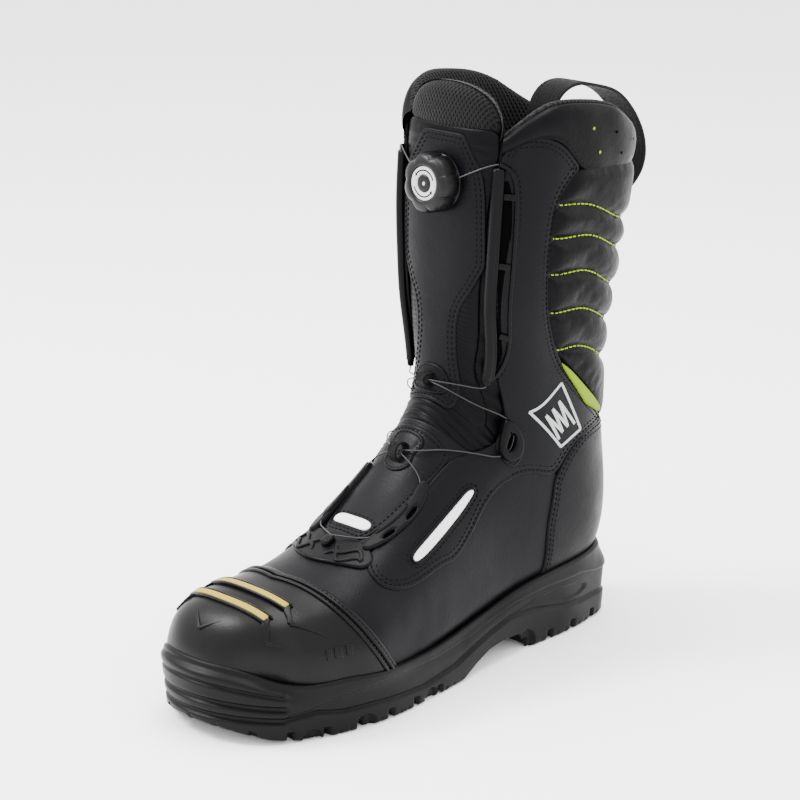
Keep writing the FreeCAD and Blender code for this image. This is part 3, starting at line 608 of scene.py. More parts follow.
FINISH = {
    "sole_rubber": RUBBER, "steel": STEEL, "mesh": LINING, "toe_leather": TOE_LEATHER,
    "strip": STRIP, "leather": LEATHER, "soft_leather": SOFT_LEATHER, "neon": NEON,
    "reflective": REFLECTIVE, "badge": BADGE, "webbing": WEBBING, "guide_plastic": PLASTIC,
    "lace_cable": LACE, "dial_plastic": DIAL_PLASTIC, "dial_label": LABEL,
    "padding": material("padding", (0.05, 0.05, 0.052), 0.85),
    "composite": material("composite", (0.08, 0.075, 0.05), 0.5),
}
SLOT_OF = {row["node"]: row["material_slot"] for row in frame["record"]["subparts"]}
for cad_name, cad_object in frame["nodes"].items():
    finish = FINISH[SLOT_OF[cad_name]]
    if cad_object.material_slots:
        cad_object.material_slots[0].material = finish
    else:
        cad_object.data.materials.append(finish)


# ------------------------------------------------------------------ pattern coordinates

FRONT_LINE = section_point(np.arange(0, 21.01, 0.05), 0.0)
FRONT_RUN = np.concatenate([[0], np.cumsum(np.linalg.norm(np.diff(FRONT_LINE, axis=0), axis=1))])


def pattern_of(station, angle):
    """Millimetres round and up the boot, for woven patterns."""
    up = np.interp(station, np.arange(0, 21.01, 0.05), FRONT_RUN)
    around = np.asarray(angle) * 0.92
    return np.stack([around, up, np.zeros_like(up)], axis=-1)


def mirrored(outline):
    return [(station, -angle) for station, angle in outline]


def both(outline):
    """Outline given along the outer half from the front line; closes itself on the inner half."""
    return list(outline) + [(station, -angle) for station, angle in reversed(outline)]


def stitch_rows(loop, insets, closed=True):
    rows = []
    for inset in insets:
        rows.append((sideways(loop, np.full(len(loop), -inset), closed=closed), closed))
    return rows


# ------------------------------------------------------------------ toe and vamp

TOE_SEAM = spline([0, 23, 50, 73, 90, 104], [5.40, 5.52, 5.70, 6.04, 6.40, 6.70])
toe_seam_half = [(float(TOE_SEAM(a)), a) for a in (0, 12, 23, 36, 50, 62, 73, 84, 94, 104)]
toe_outline = toe_seam_half + [(5.0, 104), (3.2, 103), (1.25, 103), (1.25, 70), (1.25, 40), (1.25, 0)]
toe_outline = toe_outline + [(s, -a) for s, a in toe_outline[::-1] if a > 0]


piece, toe_loop = panel("toe_guard_leather", toe_outline, 1.4, 1.6, TOE_LEATHER, "boot", "toe_leather",
                        groove=0.0)
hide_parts("toe_guard")

vamp_half = [
    (5.2, 0), (5.3, 23), (5.48, 50), (5.82, 73), (6.2, 92), (6.5, 104), (7.0, 105), (8.0, 115), (9.0, 132),
    (10.0, 148), (10.7, 156), (11.1, 140), (11.5, 108), (12.5, 79), (12.9, 62), (12.5, 40), (11.3, 33),
    (10.6, 24), (10.3, 12), (10.25, 0)]
vamp_outline = vamp_half + [(s, -a) for s, a in vamp_half[::-1] if a > 0]


def vamp_creases(station, angle, distance):
    """The hide sinks a little where the foot bends."""
    flex = np.exp(-((station - 7.6) / 0.9) ** 2) * np.clip((np.abs(angle) - 55) / 20, 0, 1)
    folds = np.sin(station * 9.0 + 0.05 * angle) + 0.6 * np.sin(station * 15.7 - 0.08 * angle + 1.3)
    return -0.28 * flex * (0.6 + 0.4 * folds)


piece, vamp_loop = panel("vamp_leather", vamp_outline, 0.0, 1.2, LEATHER, "boot", "leather",
                         groove=0.0, lift=vamp_creases, step=2.2, fill=(0.18, 4.5))
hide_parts("vamp")
seam_line = np.array([(float(TOE_SEAM(abs(a))), a) for a in range(-104, 105, 4)])
stitches("toe_seam_thread", [(seam_line - [0.09, 0], False), (seam_line - [0.245, 0], False)],
         1.45, THREAD, "boot", pitch=2.8, length=2.2, radius=0.34)
for name, back in (("a", 0.168), ("b", 0.325)):
    bead = smooth_path([(s - back, a, 1.2) for s, a in seam_line], 200)
    points, faces = sweep(bead, bar_section(2.1, 1.5, 0.75, -0.6), scale=rounded_ends(200, 0.01))
    mesh("toe_seam_bead_" + name, points, faces, TOE_LEATHER, "boot")


# ------------------------------------------------------------------ quarters and heel

SHAFT_OUTLINE = [
    (6.74, 30), (7.2, 24), (8.0, 21), (9.4, 20), (10.2, 22), (11.0, 26), (11.8, 29), (13.0, 30),
    (16.0, 30), (18.2, 31), (19.0, 33), (19.44, 37), (19.5, 47), (19.48, 56), (19.34, 67),
    (18.95, 81), (18.6, 71), (18.21, 66), (17.23, 66.5), (16.2, 71), (15.4, 80), (15.03, 90),
    (14.72, 113), (14.45, 149), (13.9, 126), (13.5, 110), (12.9, 92), (12.24, 76), (11.78, 50),
    (10.97, 43), (10.17, 47), (9.4, 57), (8.77, 63), (8.27, 58.5), (7.29, 59), (6.71, 52),
    (6.58, 40)]
SHARP = {0: 4, 11: 6, 15: 2.5, 23: 2.5, 34: 9}


def quarter_shape(station, angle, distance):
    """Soft unevenness of the padded side."""
    side = np.abs(angle)
    soft = np.exp(-((station - 15.2) / 2.4) ** 2) * np.exp(-((side - 52) / 18) ** 2)
    dent = 0.5 * np.sin(station * 2.1 + side * 0.07) * np.exp(-((station - 10.4) / 1.6) ** 2)
    return 0.9 * soft * np.clip(distance / 10, 0, 1) + 0.35 * dent * np.clip(distance / 8, 0, 1)


quarter_loops = {}
for side_name, turn in (("lateral", 1), ("medial", -1)):
    outline = [(s, a * turn) for s, a in SHAFT_OUTLINE]
    piece, loop = panel(side_name + "_quarter", outline, 1.1, 1.3, LEATHER, "boot", "leather",
                        sharp=SHARP, groove=0.2, lift=quarter_shape, step=1.8, fill=(0.16, 4.2))
    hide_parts(side_name + "_shaft_panel")
    quarter_loops[side_name] = loop
    rows = stitch_rows(loop, (2.6, 5.2))

    def sewn(station, angle):
        side = np.abs(angle)
        return ~((side < 43) & (station > 6.9) & (station < 19.1))

    stitches(side_name + "_quarter_thread", rows, 1.12, THREAD, "boot", where=sewn)

HEEL_HALF = [
    (10.45, 151), (10.82, 137), (11.29, 104), (11.66, 90), (12.19, 79), (12.75, 88), (13.5, 109),
    (14.08, 130), (14.42, 149), (14.54, 165)]
heel_outline = HEEL_HALF + [(14.58, 180)] + [(s, 360 - a) for s, a in HEEL_HALF[::-1]]
heel_outline += [(11.2, 198), (12.1, 180), (11.2, 162)]
piece, heel_loop = panel("heel_counter_leather", heel_outline, 1.25, 1.4, LEATHER, "boot", "leather",
                         sharp={4: 5, 16: 5}, groove=0.22, step=1.8, fill=(0.14, 4.0))
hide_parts("heel_counter_cover")


def above_sole(station, angle):
    return section_point(station, angle)[..., 2] > 34


stitches("heel_counter_thread", stitch_rows(heel_loop, (2.6, 5.4)), 1.25, THREAD, "boot",
         where=above_sole)


# ------------------------------------------------------------------ sole

SOLE_PLAN = [
    (8, -153), (30, -140), (45, -119), (53.5, -92), (56.5, -65), (54.5, -38), (50, -8), (45, 22),
    (41.5, 52), (40, 82), (39, 108), (34, 134), (20, 152), (-20, 152), (-34, 134), (-38.5, 108),
    (-39.5, 82), (-41.5, 52), (-46, 22), (-49.5, -8), (-51.5, -38), (-53, -65), (-55, -92),
    (-54.5, -117), (-47, -139), (-31, -152), (-12, -156)]
SOLE_TOP = spline([-165, -150, -133, -97, -57, -20, 10, 36, 56, 81, 109, 150, 165],
                  [44, 43, 35.5, 32, 29.5, 28, 30, 34, 38.5, 42, 43.5, 45, 45])
UNDERSIDE_Y = [-165, -150, -132, -115, 4, 16, 28, 42, 57, 60, 66, 146, 165]
UNDERSIDE_Z = [16, 9, 2.5, 0, 0, 6, 10.5, 12, 11.5, 8, 0, 0, 9]
SOLE_STEPS = 720


def periodic(points, count):
    """Even closed smooth curve through plan points."""
    points = np.asarray(points, float)
    wrapped_points = np.vstack([points[-4:], points, points[:5]])
    curve = spline(np.arange(len(wrapped_points)), wrapped_points)
    dense = curve(np.linspace(4, 4 + len(points), 3000))
    run = np.concatenate([[0], np.cumsum(np.linalg.norm(np.diff(dense, axis=0), axis=1))])
    places = np.linspace(0, run[-1], count, endpoint=False)
    return np.stack([np.interp(places, run, dense[:, k]) for k in (0, 1)], axis=1), run[-1]


PLAN, PLAN_LENGTH = periodic(SOLE_PLAN, SOLE_STEPS)
PLAN_RUN = np.arange(SOLE_STEPS) * PLAN_LENGTH / SOLE_STEPS
PLAN_OUT = np.roll(PLAN, -1, axis=0) - np.roll(PLAN, 1, axis=0)
PLAN_OUT = unit(np.stack([PLAN_OUT[:, 1], -PLAN_OUT[:, 0]], axis=1))
if np.sum(PLAN_OUT * (PLAN - PLAN.mean(axis=0))) < 0:
    PLAN_OUT = -PLAN_OUT


def wall(height):
    """Plan points of the sole's outer face at heights, one per plan point."""
    shrink = 0.055 - 0.07 * (np.asarray(height) + 1) / 63
    return np.stack([PLAN[:, 0] * (1 - shrink), PLAN[:, 1] * (1 - shrink / 2)], axis=1)


def upper_line(height):
    """Where the upper's face is, seen straight in from each plan point at its own height."""
    stations = np.linspace(0.15, 12.6, 260)
    angles = np.linspace(-180, 180, 361)[:-1]
    cloud = section_point(stations[:, None], angles[None, :]).reshape(-1, 3)
    cloud = cloud[cloud[:, 2] < 66]
    reach = np.zeros(SOLE_STEPS)
    for i in range(SOLE_STEPS):
        near = cloud[np.abs(cloud[:, 2] - height[i]) < 1.6]
        gap = PLAN[i] - near[:, :2]
        depth = gap @ PLAN_OUT[i]
        aside = np.abs(gap @ np.array([-PLAN_OUT[i, 1], PLAN_OUT[i, 0]]))
        close = depth[(aside < 3.0) & (depth < 40)]
        reach[i] = close.min() if len(close) else 8.0
    kernel = np.hanning(17)
    kernel /= kernel.sum()
    long = np.concatenate([reach[-8:], reach, reach[:8]])
    return np.convolve(long, kernel, mode="valid")


LIP_HEIGHT = SOLE_TOP(PLAN[:, 1])
LIP_REACH = upper_line(LIP_HEIGHT)
LOW_HEIGHT = np.interp(PLAN[:, 1] * 0.97, UNDERSIDE_Y, UNDERSIDE_Z)


def smoothstep(value, low, high):
    t = np.clip((value - low) / (high - low), 0, 1)
    return t * t * (3 - 2 * t)


def lug_cut(y, run):
    """1 in the gaps between the lugs along the edge of the tread."""
    pitch = 21.7
    along = (run / pitch) % 1.0
    gap = smoothstep(np.abs(along - 0.5), 0.395, 0.425)
    arch = (y > -2) & (y < 64)
    return np.where(arch, 0.0, gap)


def side_relief(x, y, z, run):
    """How far the sole's face stands out of its plain wall, in millimetres."""
    toe = smoothstep(-y, 124.0, 127.0)
    relief = 1.3 * toe
    groove_levels = [
        (np.interp(y, [-155, -127], [34.0, 26.5]), 1.2, 1.5),
        (np.interp(y, [-155, -127], [23.5, 20.0]), 1.8, 2.2),
        (np.interp(y, [-155, -127], [15.5, 13.3]), 1.8, 2.2),
    ]
    for level, wide, deep in groove_levels:
        relief = relief - toe * deep * np.exp(-((z - level) / wide) ** 4)
    body = 1 - toe
    ledge = np.interp(y, [-127, -115, -106, -87, -57, -19, 11, 33, 54, 82, 114, 133, 155],
                      [15.5, 17, 20, 23, 24.2, 22, 23.5, 27.5, 31.5, 33.5, 33, 29, 28])
    relief = relief + body * (-0.9 * smoothstep(ledge - z, 0.0, 1.6))
    relief = relief - body * 0.9 * np.exp(-((z - ledge) / 0.8) ** 2)
    low_line = np.interp(y, [-127, -110, -96, -76, -56, -33, -4, 25, 47, 68, 97, 112, 130, 155],
                         [13, 15.5, 13, 12.5, 11.0, 9.5, 12, 19.5, 24, 23, 17.5, 16, 15, 14])
    relief = relief + body * 1.3 * smoothstep(low_line - z, 0.0, 1.4)
    relief = relief - body * 0.7 * np.exp(-((z - low_line - 0.4) / 0.7) ** 2)
    swoosh_top = np.interp(y, [38, 47, 68, 89, 111, 124], [24, 25.5, 28.5, 30.5, 29, 24])
    swoosh_low = np.interp(y, [38, 60, 80, 97, 112, 124], [23, 25.5, 23.5, 20, 20, 23])
    within = smoothstep(swoosh_top - z, 0.0, 1.2) * smoothstep(z - swoosh_low, 0.0, 1.2)
    relief = relief - body * 1.1 * within * smoothstep(y, 40, 50) * smoothstep(-y, -122, -116)
    for centre_y, centre_z, radius in ((63, 4.5, 7.5), (-80, 2.0, 6.0), (-112, 1.0, 5.0), (-28, 2.0, 5.0)):
        away = np.hypot(y - centre_y, z - centre_z)
        relief = relief - 2.2 * smoothstep(-away, -radius - 0.4, -radius + 0.4)
    lug = lug_cut(y, run)
    relief = relief - lug * 3.2 * smoothstep(-z, -6.5, -5.5)
    small = smoothstep(np.abs(((run / 7.23) % 1.0) - 0.5), 0.42, 0.45)
    heel_or_side = ((y > 66) | (y < 0)) & (y > -124)
    relief = relief - np.where(heel_or_side, 0.7, 0.0) * small * smoothstep(-z, -3.2, -2.6)
    return relief


SHARES = np.concatenate([np.linspace(0, 1, 62)])
lip_out = PLAN - PLAN_OUT * LIP_REACH[:, None]
rows, heights = [], []
lip_rows = [(-2.5, -2.0), (-0.6, -0.2), (0.7, 0.0), (1.9, -0.25), (2.7, -0.9), (3.1, -1.8)]
for out, drop in lip_rows:
    rows.append(lip_out + PLAN_OUT * out)
    heights.append(LIP_HEIGHT + drop)
for share in SHARES[1:]:
    height = LIP_HEIGHT - 1.8 + (LOW_HEIGHT - LIP_HEIGHT + 1.8) * share
    blend_in = smoothstep(share, 0.0, 0.34)
    toe_fast = smoothstep(-PLAN[:, 1], 120, 130) * smoothstep(share, 0.0, 0.16)
    blend_in = np.maximum(blend_in, toe_fast)
    plain = lip_out + PLAN_OUT * 3.1
    face = plain + (wall(height) - plain) * blend_in[:, None]
    relief = side_relief(face[:, 0], face[:, 1], height, PLAN_RUN) * smoothstep(share, 0.02, 0.12)
    under = 0.9 * smoothstep(share, 0.965, 1.0)
    rows.append(face + PLAN_OUT * (relief - under)[:, None])
    heights.append(height)
# the lugs' gaps also lift the lowest rows
gap_lift = lug_cut(PLAN[:, 1], PLAN_RUN) * 3.2
sole_points = []
for row, height in zip(rows, heights):
    low = LOW_HEIGHT + gap_lift
    sole_points.append(np.column_stack([row, np.maximum(height, np.minimum(low, height + 3.2))]))
bottom_edge = rows[-1]
middle_line = np.column_stack([np.zeros(SOLE_STEPS), np.clip(PLAN[:, 1], -112, 118)])


def tread_height(x, y, base, share):
    """Chevron lugs under the sole."""
    chevron = (y - 0.55 * np.abs(x)) / 21.7
    gap = smoothstep(np.abs((chevron % 1.0) - 0.5), 0.34, 0.38)
    split = smoothstep(-np.abs(x), -2.4, -1.6)
    arch = (y > -2) & (y < 64)
    cut = np.where(arch, 0.15 * gap, np.maximum(gap, split))
    return base + 4.2 * cut * smoothstep(share, 0.0, 0.06)


for share in np.linspace(0, 1, 34)[1:]:
    ring = bottom_edge + (middle_line - bottom_edge) * share
    base = np.interp(ring[:, 1] * 0.97, UNDERSIDE_Y, UNDERSIDE_Z)
    edge_lift = gap_lift * (1 - smoothstep(share, 0.0, 0.08))
    level = np.maximum(tread_height(ring[:, 0], ring[:, 1], base, share), base + edge_lift)
    sole_points.append(np.column_stack([ring, level]))
faces = grid_faces(len(sole_points), SOLE_STEPS, close_columns=True)
sole = mesh("sole_unit", np.vstack(sole_points), faces, RUBBER, "boot")
centre_face = sole.data.polygons[5 * SOLE_STEPS + 20]
if centre_face.normal.xy.dot(Vector(PLAN_OUT[20])) < 0:
    sole.data.flip_normals()
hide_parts("outsole", "midsole", "toe_bumper")


# ------------------------------------------------------------------ soft pieces

def inflate(piece, held, pressure, growth, frames=24):
    """Cloth simulation: the leather or fabric swells between the places where it is sewn."""
    scale = 10.0
    data = piece.data
    count = len(data.vertices)
    flat = np.empty(count * 3)
    data.vertices.foreach_get("co", flat)
    data.vertices.foreach_set("co", flat * scale)
    group = piece.vertex_groups.new(name="held")
    group.add([int(i) for i in np.nonzero(held)[0]], 1.0, "REPLACE")
    cloth = piece.modifiers.new("cloth", "CLOTH")
    settings = cloth.settings
    settings.vertex_group_mass = "held"
    settings.quality = 6
    settings.mass = 0.4
    settings.tension_stiffness = 18
    settings.compression_stiffness = 12
    settings.shear_stiffness = 8
    settings.bending_stiffness = 0.6
    settings.use_pressure = True
    settings.uniform_pressure_force = pressure
    settings.shrink_min = -growth
    settings.effector_weights.gravity = 0
    cloth.collision_settings.use_collision = False
    cloth.collision_settings.use_self_collision = False
    scene = bpy.context.scene
    scene.frame_start = 1
    for frame_number in range(1, frames + 1):
        scene.frame_set(frame_number)
    shown = piece.evaluated_get(bpy.context.evaluated_depsgraph_get())
    result = np.empty(count * 3)
    shown.data.vertices.foreach_get("co", result)
    piece.modifiers.remove(cloth)
    move = (result / scale - flat).reshape(-1, 3)
    size = np.linalg.norm(move, axis=1)
    limit = 0.006
    move *= (np.minimum(size, limit) / np.maximum(size, 1e-9))[:, None]
    data.vertices.foreach_set("co", (flat.reshape(-1, 3) + move).ravel())
    data.update()
    scene.frame_set(1)


SEAMS = [
    spline([60, 69, 94, 123, 180], [18.30, 18.30, 18.28, 18.03, 17.98]),
    spline([60, 70, 99, 124, 180], [17.66, 17.66, 17.72, 17.54, 17.45]),
    spline([60, 73, 99, 125, 180], [16.92, 16.94, 17.07, 16.91, 16.85]),
    spline([60, 75, 102, 131, 180], [16.08, 16.12, 16.33, 16.25, 16.2]),
    spline([60, 82, 103, 140, 180], [15.28, 15.31, 15.54, 15.55, 15.55]),
]


def folded(angle):
    """Angle measured from the front on either side."""
    return np.where(angle > 180, 360 - angle, np.abs(angle))


def seam_gap(station, angle):
    """Signed distances in millimetres from the back seams, seam by seam."""
    side = folded(angle)
    return np.array([(station - seam(side)) * 31 for seam in SEAMS])


def puffs(station, angle, distance):
    gaps = np.abs(seam_gap(station, angle)).min(axis=0)
    rise = np.clip((np.minimum(gaps, distance) - 0.9) / 9.5, 0, 1)
    wrinkle = np.sin(angle * 1.25 + 2.2 * np.sin(station * 5.0)) * np.exp(-gaps / 3.2)
    wrinkle = wrinkle + 0.5 * np.sin(angle * 2.9 + station * 3.0) * np.exp(-gaps / 2.0)
    return 4.6 * np.sqrt(1 - (1 - rise) ** 2) * (0.88 + 0.12 * np.sin(angle * 0.11)) - 1.0 + 0.4 * wrinkle


PAD_HALF = [
    (19.0, 79), (18.6, 68), (18.21, 62), (17.23, 63), (16.2, 67), (15.4, 76), (15.08, 87),
    (14.86, 112), (14.62, 138), (14.45, 150), (14.45, 168)]
pad_outline = PAD_HALF + [(14.5, 180)] + [(s, 360 - a) for s, a in PAD_HALF[::-1]]
pad_outline += [(18.98, 250), (18.95, 215), (18.95, 180), (18.95, 145), (18.98, 110)]
back_pad, pad_loop = panel("back_pad_leather", pad_outline, 0.4, 1.2, SOFT_LEATHER, "boot",
                           "soft_leather", groove=0.0, lift=puffs, step=2.0, fill=(0.075, 2.4))
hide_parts("back_pad")
spots = np.array([v.co for v in back_pad.data.vertices]) / MM
seam_paths = []
for seam in SEAMS:
    angles = np.arange(63, 298, 2.0)
    seam_paths.append((np.column_stack([seam(folded(angles)), angles]), False))
seam_points = np.vstack([on_boot(path[:, 0], path[:, 1], 0.0) for path, closed in seam_paths])
rim_points = on_boot(pad_loop[:, 0], pad_loop[:, 1], 0.0)
anchors = np.vstack([seam_points, rim_points])
away = np.concatenate([
    np.linalg.norm(part[:, None] - anchors[None], axis=2).min(axis=1)
    for part in np.array_split(spots, 40)])
inflate(back_pad, away < 2.6, 2.0, 0.008)


stitches("back_seam_thread", seam_paths, 0.0, NEON_THREAD, "boot", pitch=3.4, length=2.7,
         radius=0.5)

WEDGE = [(15.08, 87), (15.02, 98), (14.86, 113), (14.69, 132), (14.58, 142), (14.46, 141), (14.45, 122),
         (14.66, 108), (14.93, 92)]
for side_name, turn in (("lateral", 1), ("medial", -1)):
    panel(side_name + "_neon_wedge", [(s, a * turn) for s, a in WEDGE], 2.9, 1.8, NEON, "boot", "neon",
          sharp={0: 1, 4: 1.5, 5: 2, 6: 2}, groove=0.0, step=1.2, fill=(0.05, 2.0), skirt=1.5)
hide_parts("reflex_wedges")


# ------------------------------------------------------------------ collar

COLLAR_ANGLES = np.arange(34, 326.1, 2.0)
COLLAR_BOTTOM = spline([34, 54, 67, 81, 110, 145, 180], [19.20, 19.46, 19.34, 18.98, 18.80, 18.78, 18.78])
COLLAR_TOP = spline([34, 54, 67, 81, 110, 145, 180], [19.45, 19.90, 19.97, 19.95, 19.80, 19.36, 19.15])


def collar(name, profile, look, share=1.0):
    """Swept band; profile lists (share from bottom to top, extra mm up, height)."""
    side = folded(COLLAR_ANGLES)
    low, high = COLLAR_BOTTOM(side), COLLAR_TOP(side)
    points, patterns = [], []
    for portion, up, height in profile:
        station = low + (high - low) * portion + up / 31.0
        soft = 0.2 * np.sin(COLLAR_ANGLES * 0.21 + portion * 4)
        inner_side = np.clip((COLLAR_ANGLES - 200) / 40, 0, 1) * portion
        station = station + 0.13 * inner_side
        points.append(on_boot(station, COLLAR_ANGLES, height + soft))
        patterns.append(pattern_of(station, COLLAR_ANGLES) + np.array([0, height * 1.0, 0]))
    faces = grid_faces(len(profile), len(COLLAR_ANGLES))
    verts = np.vstack(points)
    normal = np.cross(verts[faces[0][1]] - verts[faces[0][0]], verts[faces[0][2]] - verts[faces[0][0]])
    outward = on_boot(19.3, 40.0, 1.0) - on_boot(19.3, 40.0, 0.0)
    if normal @ outward < 0:
        faces = flip(faces)
    return mesh(name, verts, faces, look, "boot", pattern=np.vstack(patterns))


outer_profile = [(0.0, -1.2, -1.2), (0.0, -0.6, 0.4), (0.0, 0.2, 1.15), (0.04, 0, 1.6), (0.10, 0, 1.15),
                 (0.16, 0, 1.6), (0.3, 0, 2.3), (0.45, 0, 2.6), (0.6, 0, 2.6), (0.75, 0, 2.3),
                 (0.88, 0, 1.7), (0.96, 0, 0.9), (1.0, 0.2, 0.0), (1.0, 0.7, -1.2), (1.0, 0.9, -2.4)]
roll_profile = [(1.0, 0.9, -1.8), (1.0, 1.6, -2.0), (1.0, 2.1, -3.2), (1.0, 2.2, -4.8), (1.0, 1.8, -6.4),
                (1.0, 0.8, -7.6), (1.0, -1.0, -8.3), (1.0, -3.5, -8.8), (0.8, -2, -9.2), (0.6, -2, -9.5),
                (0.35, -2, -9.5), (0.1, -2, -9.2), (0.0, -8.0, -8.8), (0.0, -14.0, -8.0),
                (0.0, -20.0, -6.9)]
collar_leather = collar("collar_leather", outer_profile, SOFT_LEATHER)
collar_mesh = collar("collar_lining_mesh", roll_profile, MESH)
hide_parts("collar_band")
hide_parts("collar_lining")

# The vent holes are flat discs: the near-black ones are painted shade where the holes are; the first hole of each row
# takes the neon colour.
holes, bright = [], []
for row_share, first in ((0.66, 86), (0.34, 94)):
    for number in range(4):
        for turn in (1, -1):
            angle = first + 22 * number
            station = float(COLLAR_BOTTOM(angle) + (COLLAR_TOP(angle) - COLLAR_BOTTOM(angle)) * row_share)
            centre = on_boot(station, angle * turn, 2.85)
            normal = unit(on_boot(station, angle * turn, 3.85) - centre)
            side = unit(np.cross(normal, [0, 0, 1.0]))
            up = np.cross(side, normal)
            circle = [centre + (side * math.cos(t) + up * math.sin(t)) * 1.0 for t in np.radians(range(0, 360, 45))]
            (bright if number == 0 else holes).append((np.array(circle), [tuple(range(8))[::-1]]))
for name, parts, look in (("collar_vent_shade", holes, HOLE_SHADE_AND_PRINT), ("collar_bright_vents", bright, NEON)):
    points, faces = join(parts)
    vents = mesh(name, points, faces, look, "boot", smooth=False)


def collar_row(share, name):
    angles = np.arange(60, 301, 2.0)
    side = folded(angles)
    path = np.column_stack([COLLAR_BOTTOM(side) + share / 31.0, angles])
    stitches(name, [(path, False)], 1.25, THREAD, "boot")


collar_row(2.2, "collar_thread")


# ------------------------------------------------------------------ tongue

def pad_round(station, angle, distance):
    """The tongue pad rounds off to its back over its whole thickness."""
    t = np.clip(distance / 8.0, 0, 1)
    low = -4.0 * (1 - smoothstep(station, 19.42, 19.66))
    return -6.5 * (1 - np.sqrt(1 - (1 - t) ** 2)) + 1.5 * np.exp(-(angle / 16) ** 2) + low


TONGUE_PAD = [
    (11.8, -21), (13, -19), (13.8, -20), (14.6, -23), (15.3, -25.5), (17, -27.5), (18.6, -28.5), (19.3, -31), (19.6, -33), (19.88, -30),
    (20.1, -24), (20.24, -14), (20.28, -5)]
pad_shape = TONGUE_PAD + [(s, -a) for s, a in TONGUE_PAD[::-1]]
tongue_front, tongue_loop = panel("tongue_pad_front", pad_shape, -0.3, 2.0, MESH, "tongue", "mesh", groove=0.0,
                                  lift=pad_round, step=2.0, fill=(0.09, 3.0), skirt=1.0)


def set_pattern(piece):
    """Fabric pattern from the row frame for pieces that face the front."""
    co = np.array([v.co for v in piece.data.vertices]) / MM
    wrap_x = co[:, 0] * 1.0
    wrap_y = co[:, 2] + 0.5 * co[:, 1]
    layer = piece.data.attributes.new("pattern", "FLOAT_VECTOR", "POINT")
    layer.data.foreach_set("vector", np.column_stack([wrap_x, wrap_y, wrap_x * 0]).astype(np.float32).ravel())


set_pattern(tongue_front)
back_side, back_loop = panel("tongue_pad_back", pad_shape, -7.5, 1.0, MESH, "tongue", "mesh", groove=0.0,
                             step=2.6, fill=(0.15, 5.0), skirt=0.0,
                             lift=lambda s, a, d: -2.6 * np.sqrt(np.clip(1 - (1 - np.clip(d / 8, 0, 1)) ** 2, 0, 1)))
back_side.data.flip_normals()
set_pattern(back_side)
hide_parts("tongue_pad")


def underlay_shape(station, angle, distance):
    ribs = 0.18 * np.sin(station * 38 + 0.12 * np.abs(angle)) * np.clip((distance - 1) / 3, 0, 1)
    return 1.3 * np.sqrt(np.clip(distance / 7, 0, 1)) + ribs


UNDERLAY = [(11.2, -24), (12.4, -21.5), (13.2, -19), (13.6, -19.5), (14.1, -21.5), (14.6, -24), (15.3, -26.5),
            (17.2, -28.5), (18.4, -30), (19.2, -33), (19.58, -31), (19.56, -14)]
underlay, underlay_loop = panel("tongue_side_leather", UNDERLAY + [(s, -a) for s, a in UNDERLAY[::-1]],
                                -1.3, 1.0, SOFT_LEATHER, "tongue", "soft_leather", groove=0.0,
                                lift=underlay_shape, step=2.0, fill=(0.05, 2.6))
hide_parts("tongue_underlay")

SHIELD = [
    (11.2, 10.5), (12.3, 12), (13.5, 12), (14.9, 13), (15.7, 16), (16.3, 24), (16.9, 30.5),
    (17.6, 29.5), (18.4, 28), (18.85, 25.5), (19.1, 20), (19.46, 13.5)]
shield, shield_loop = panel("shin_leather", SHIELD + [(s, -a) for s, a in SHIELD[::-1]], 0.9, 1.3, LEATHER,
                            "tongue", "leather", sharp={0: 4, 6: 3, 11: 4, 12: 4, 17: 3, 23: 4},
                            groove=0.2, step=1.8, fill=(0.16, 4.2))
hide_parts("tongue_shield")
stitches("shin_thread", stitch_rows(shield_loop, (2.6, 5.2)), 0.9, THREAD, "tongue")


def creased(station, angle, distance):
    """Fine creases across the place where the ankle bends."""
    wave = np.sin(station * 62 + 2.5 * np.sin(angle * 0.13)) + 0.7 * np.sin(station * 108 + angle * 0.22)
    fold = np.abs(np.sin(station * 9.5 + 0.9 * np.sin(angle * 0.11))) - 0.6
    return (0.14 * wave + 1.1 * fold) * np.clip(distance / 4, 0, 1) + 1.6 * np.sqrt(np.clip(distance / 8, 0, 1))


FLEX = [(9.86, -20), (10.5, -24), (11.0, -29), (11.75, -31), (11.85, -15), (11.85, 0)]
flex, flex_loop = panel("ankle_bend_leather", FLEX + [(s, -a) for s, a in FLEX[-2::-1]], -1.9, 1.0, SOFT_LEATHER,
                        "boot", "soft_leather", groove=0.0, lift=creased, step=2.0, fill=(0.03, 2.2))
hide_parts("flex_zone")

for side_name, turn in (("lateral", 1), ("medial", -1)):
    fold = [(10.6, 19), (11.5, 17.5), (12.7, 16), (13.6, 16), (14.5, 19), (15.5, 23), (16.8, 26), (19.35, 29), (19.35, 40), (16.8, 41),
            (14.5, 41), (12.5, 41), (11.3, 37), (10.6, 30)]
    gusset, gusset_loop = panel(side_name + "_gusset", [(s, a * turn) for s, a in fold], -2.4, 0.8, SOFT_LEATHER,
                                None, None, groove=0.0, step=2.4, fill=(0.12, 3.0),
                                lift=lambda s, a, d: 0.5 * np.sin(s * 7.0) * np.clip(d / 5, 0, 1))
    tuple(on_boot(13.0, 17.0 * turn, -2.0) * MM)
    tuple(on_boot(13.0, 31.0 * turn, -2.0) * MM)
    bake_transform(gusset)
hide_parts("tongue_gusset")

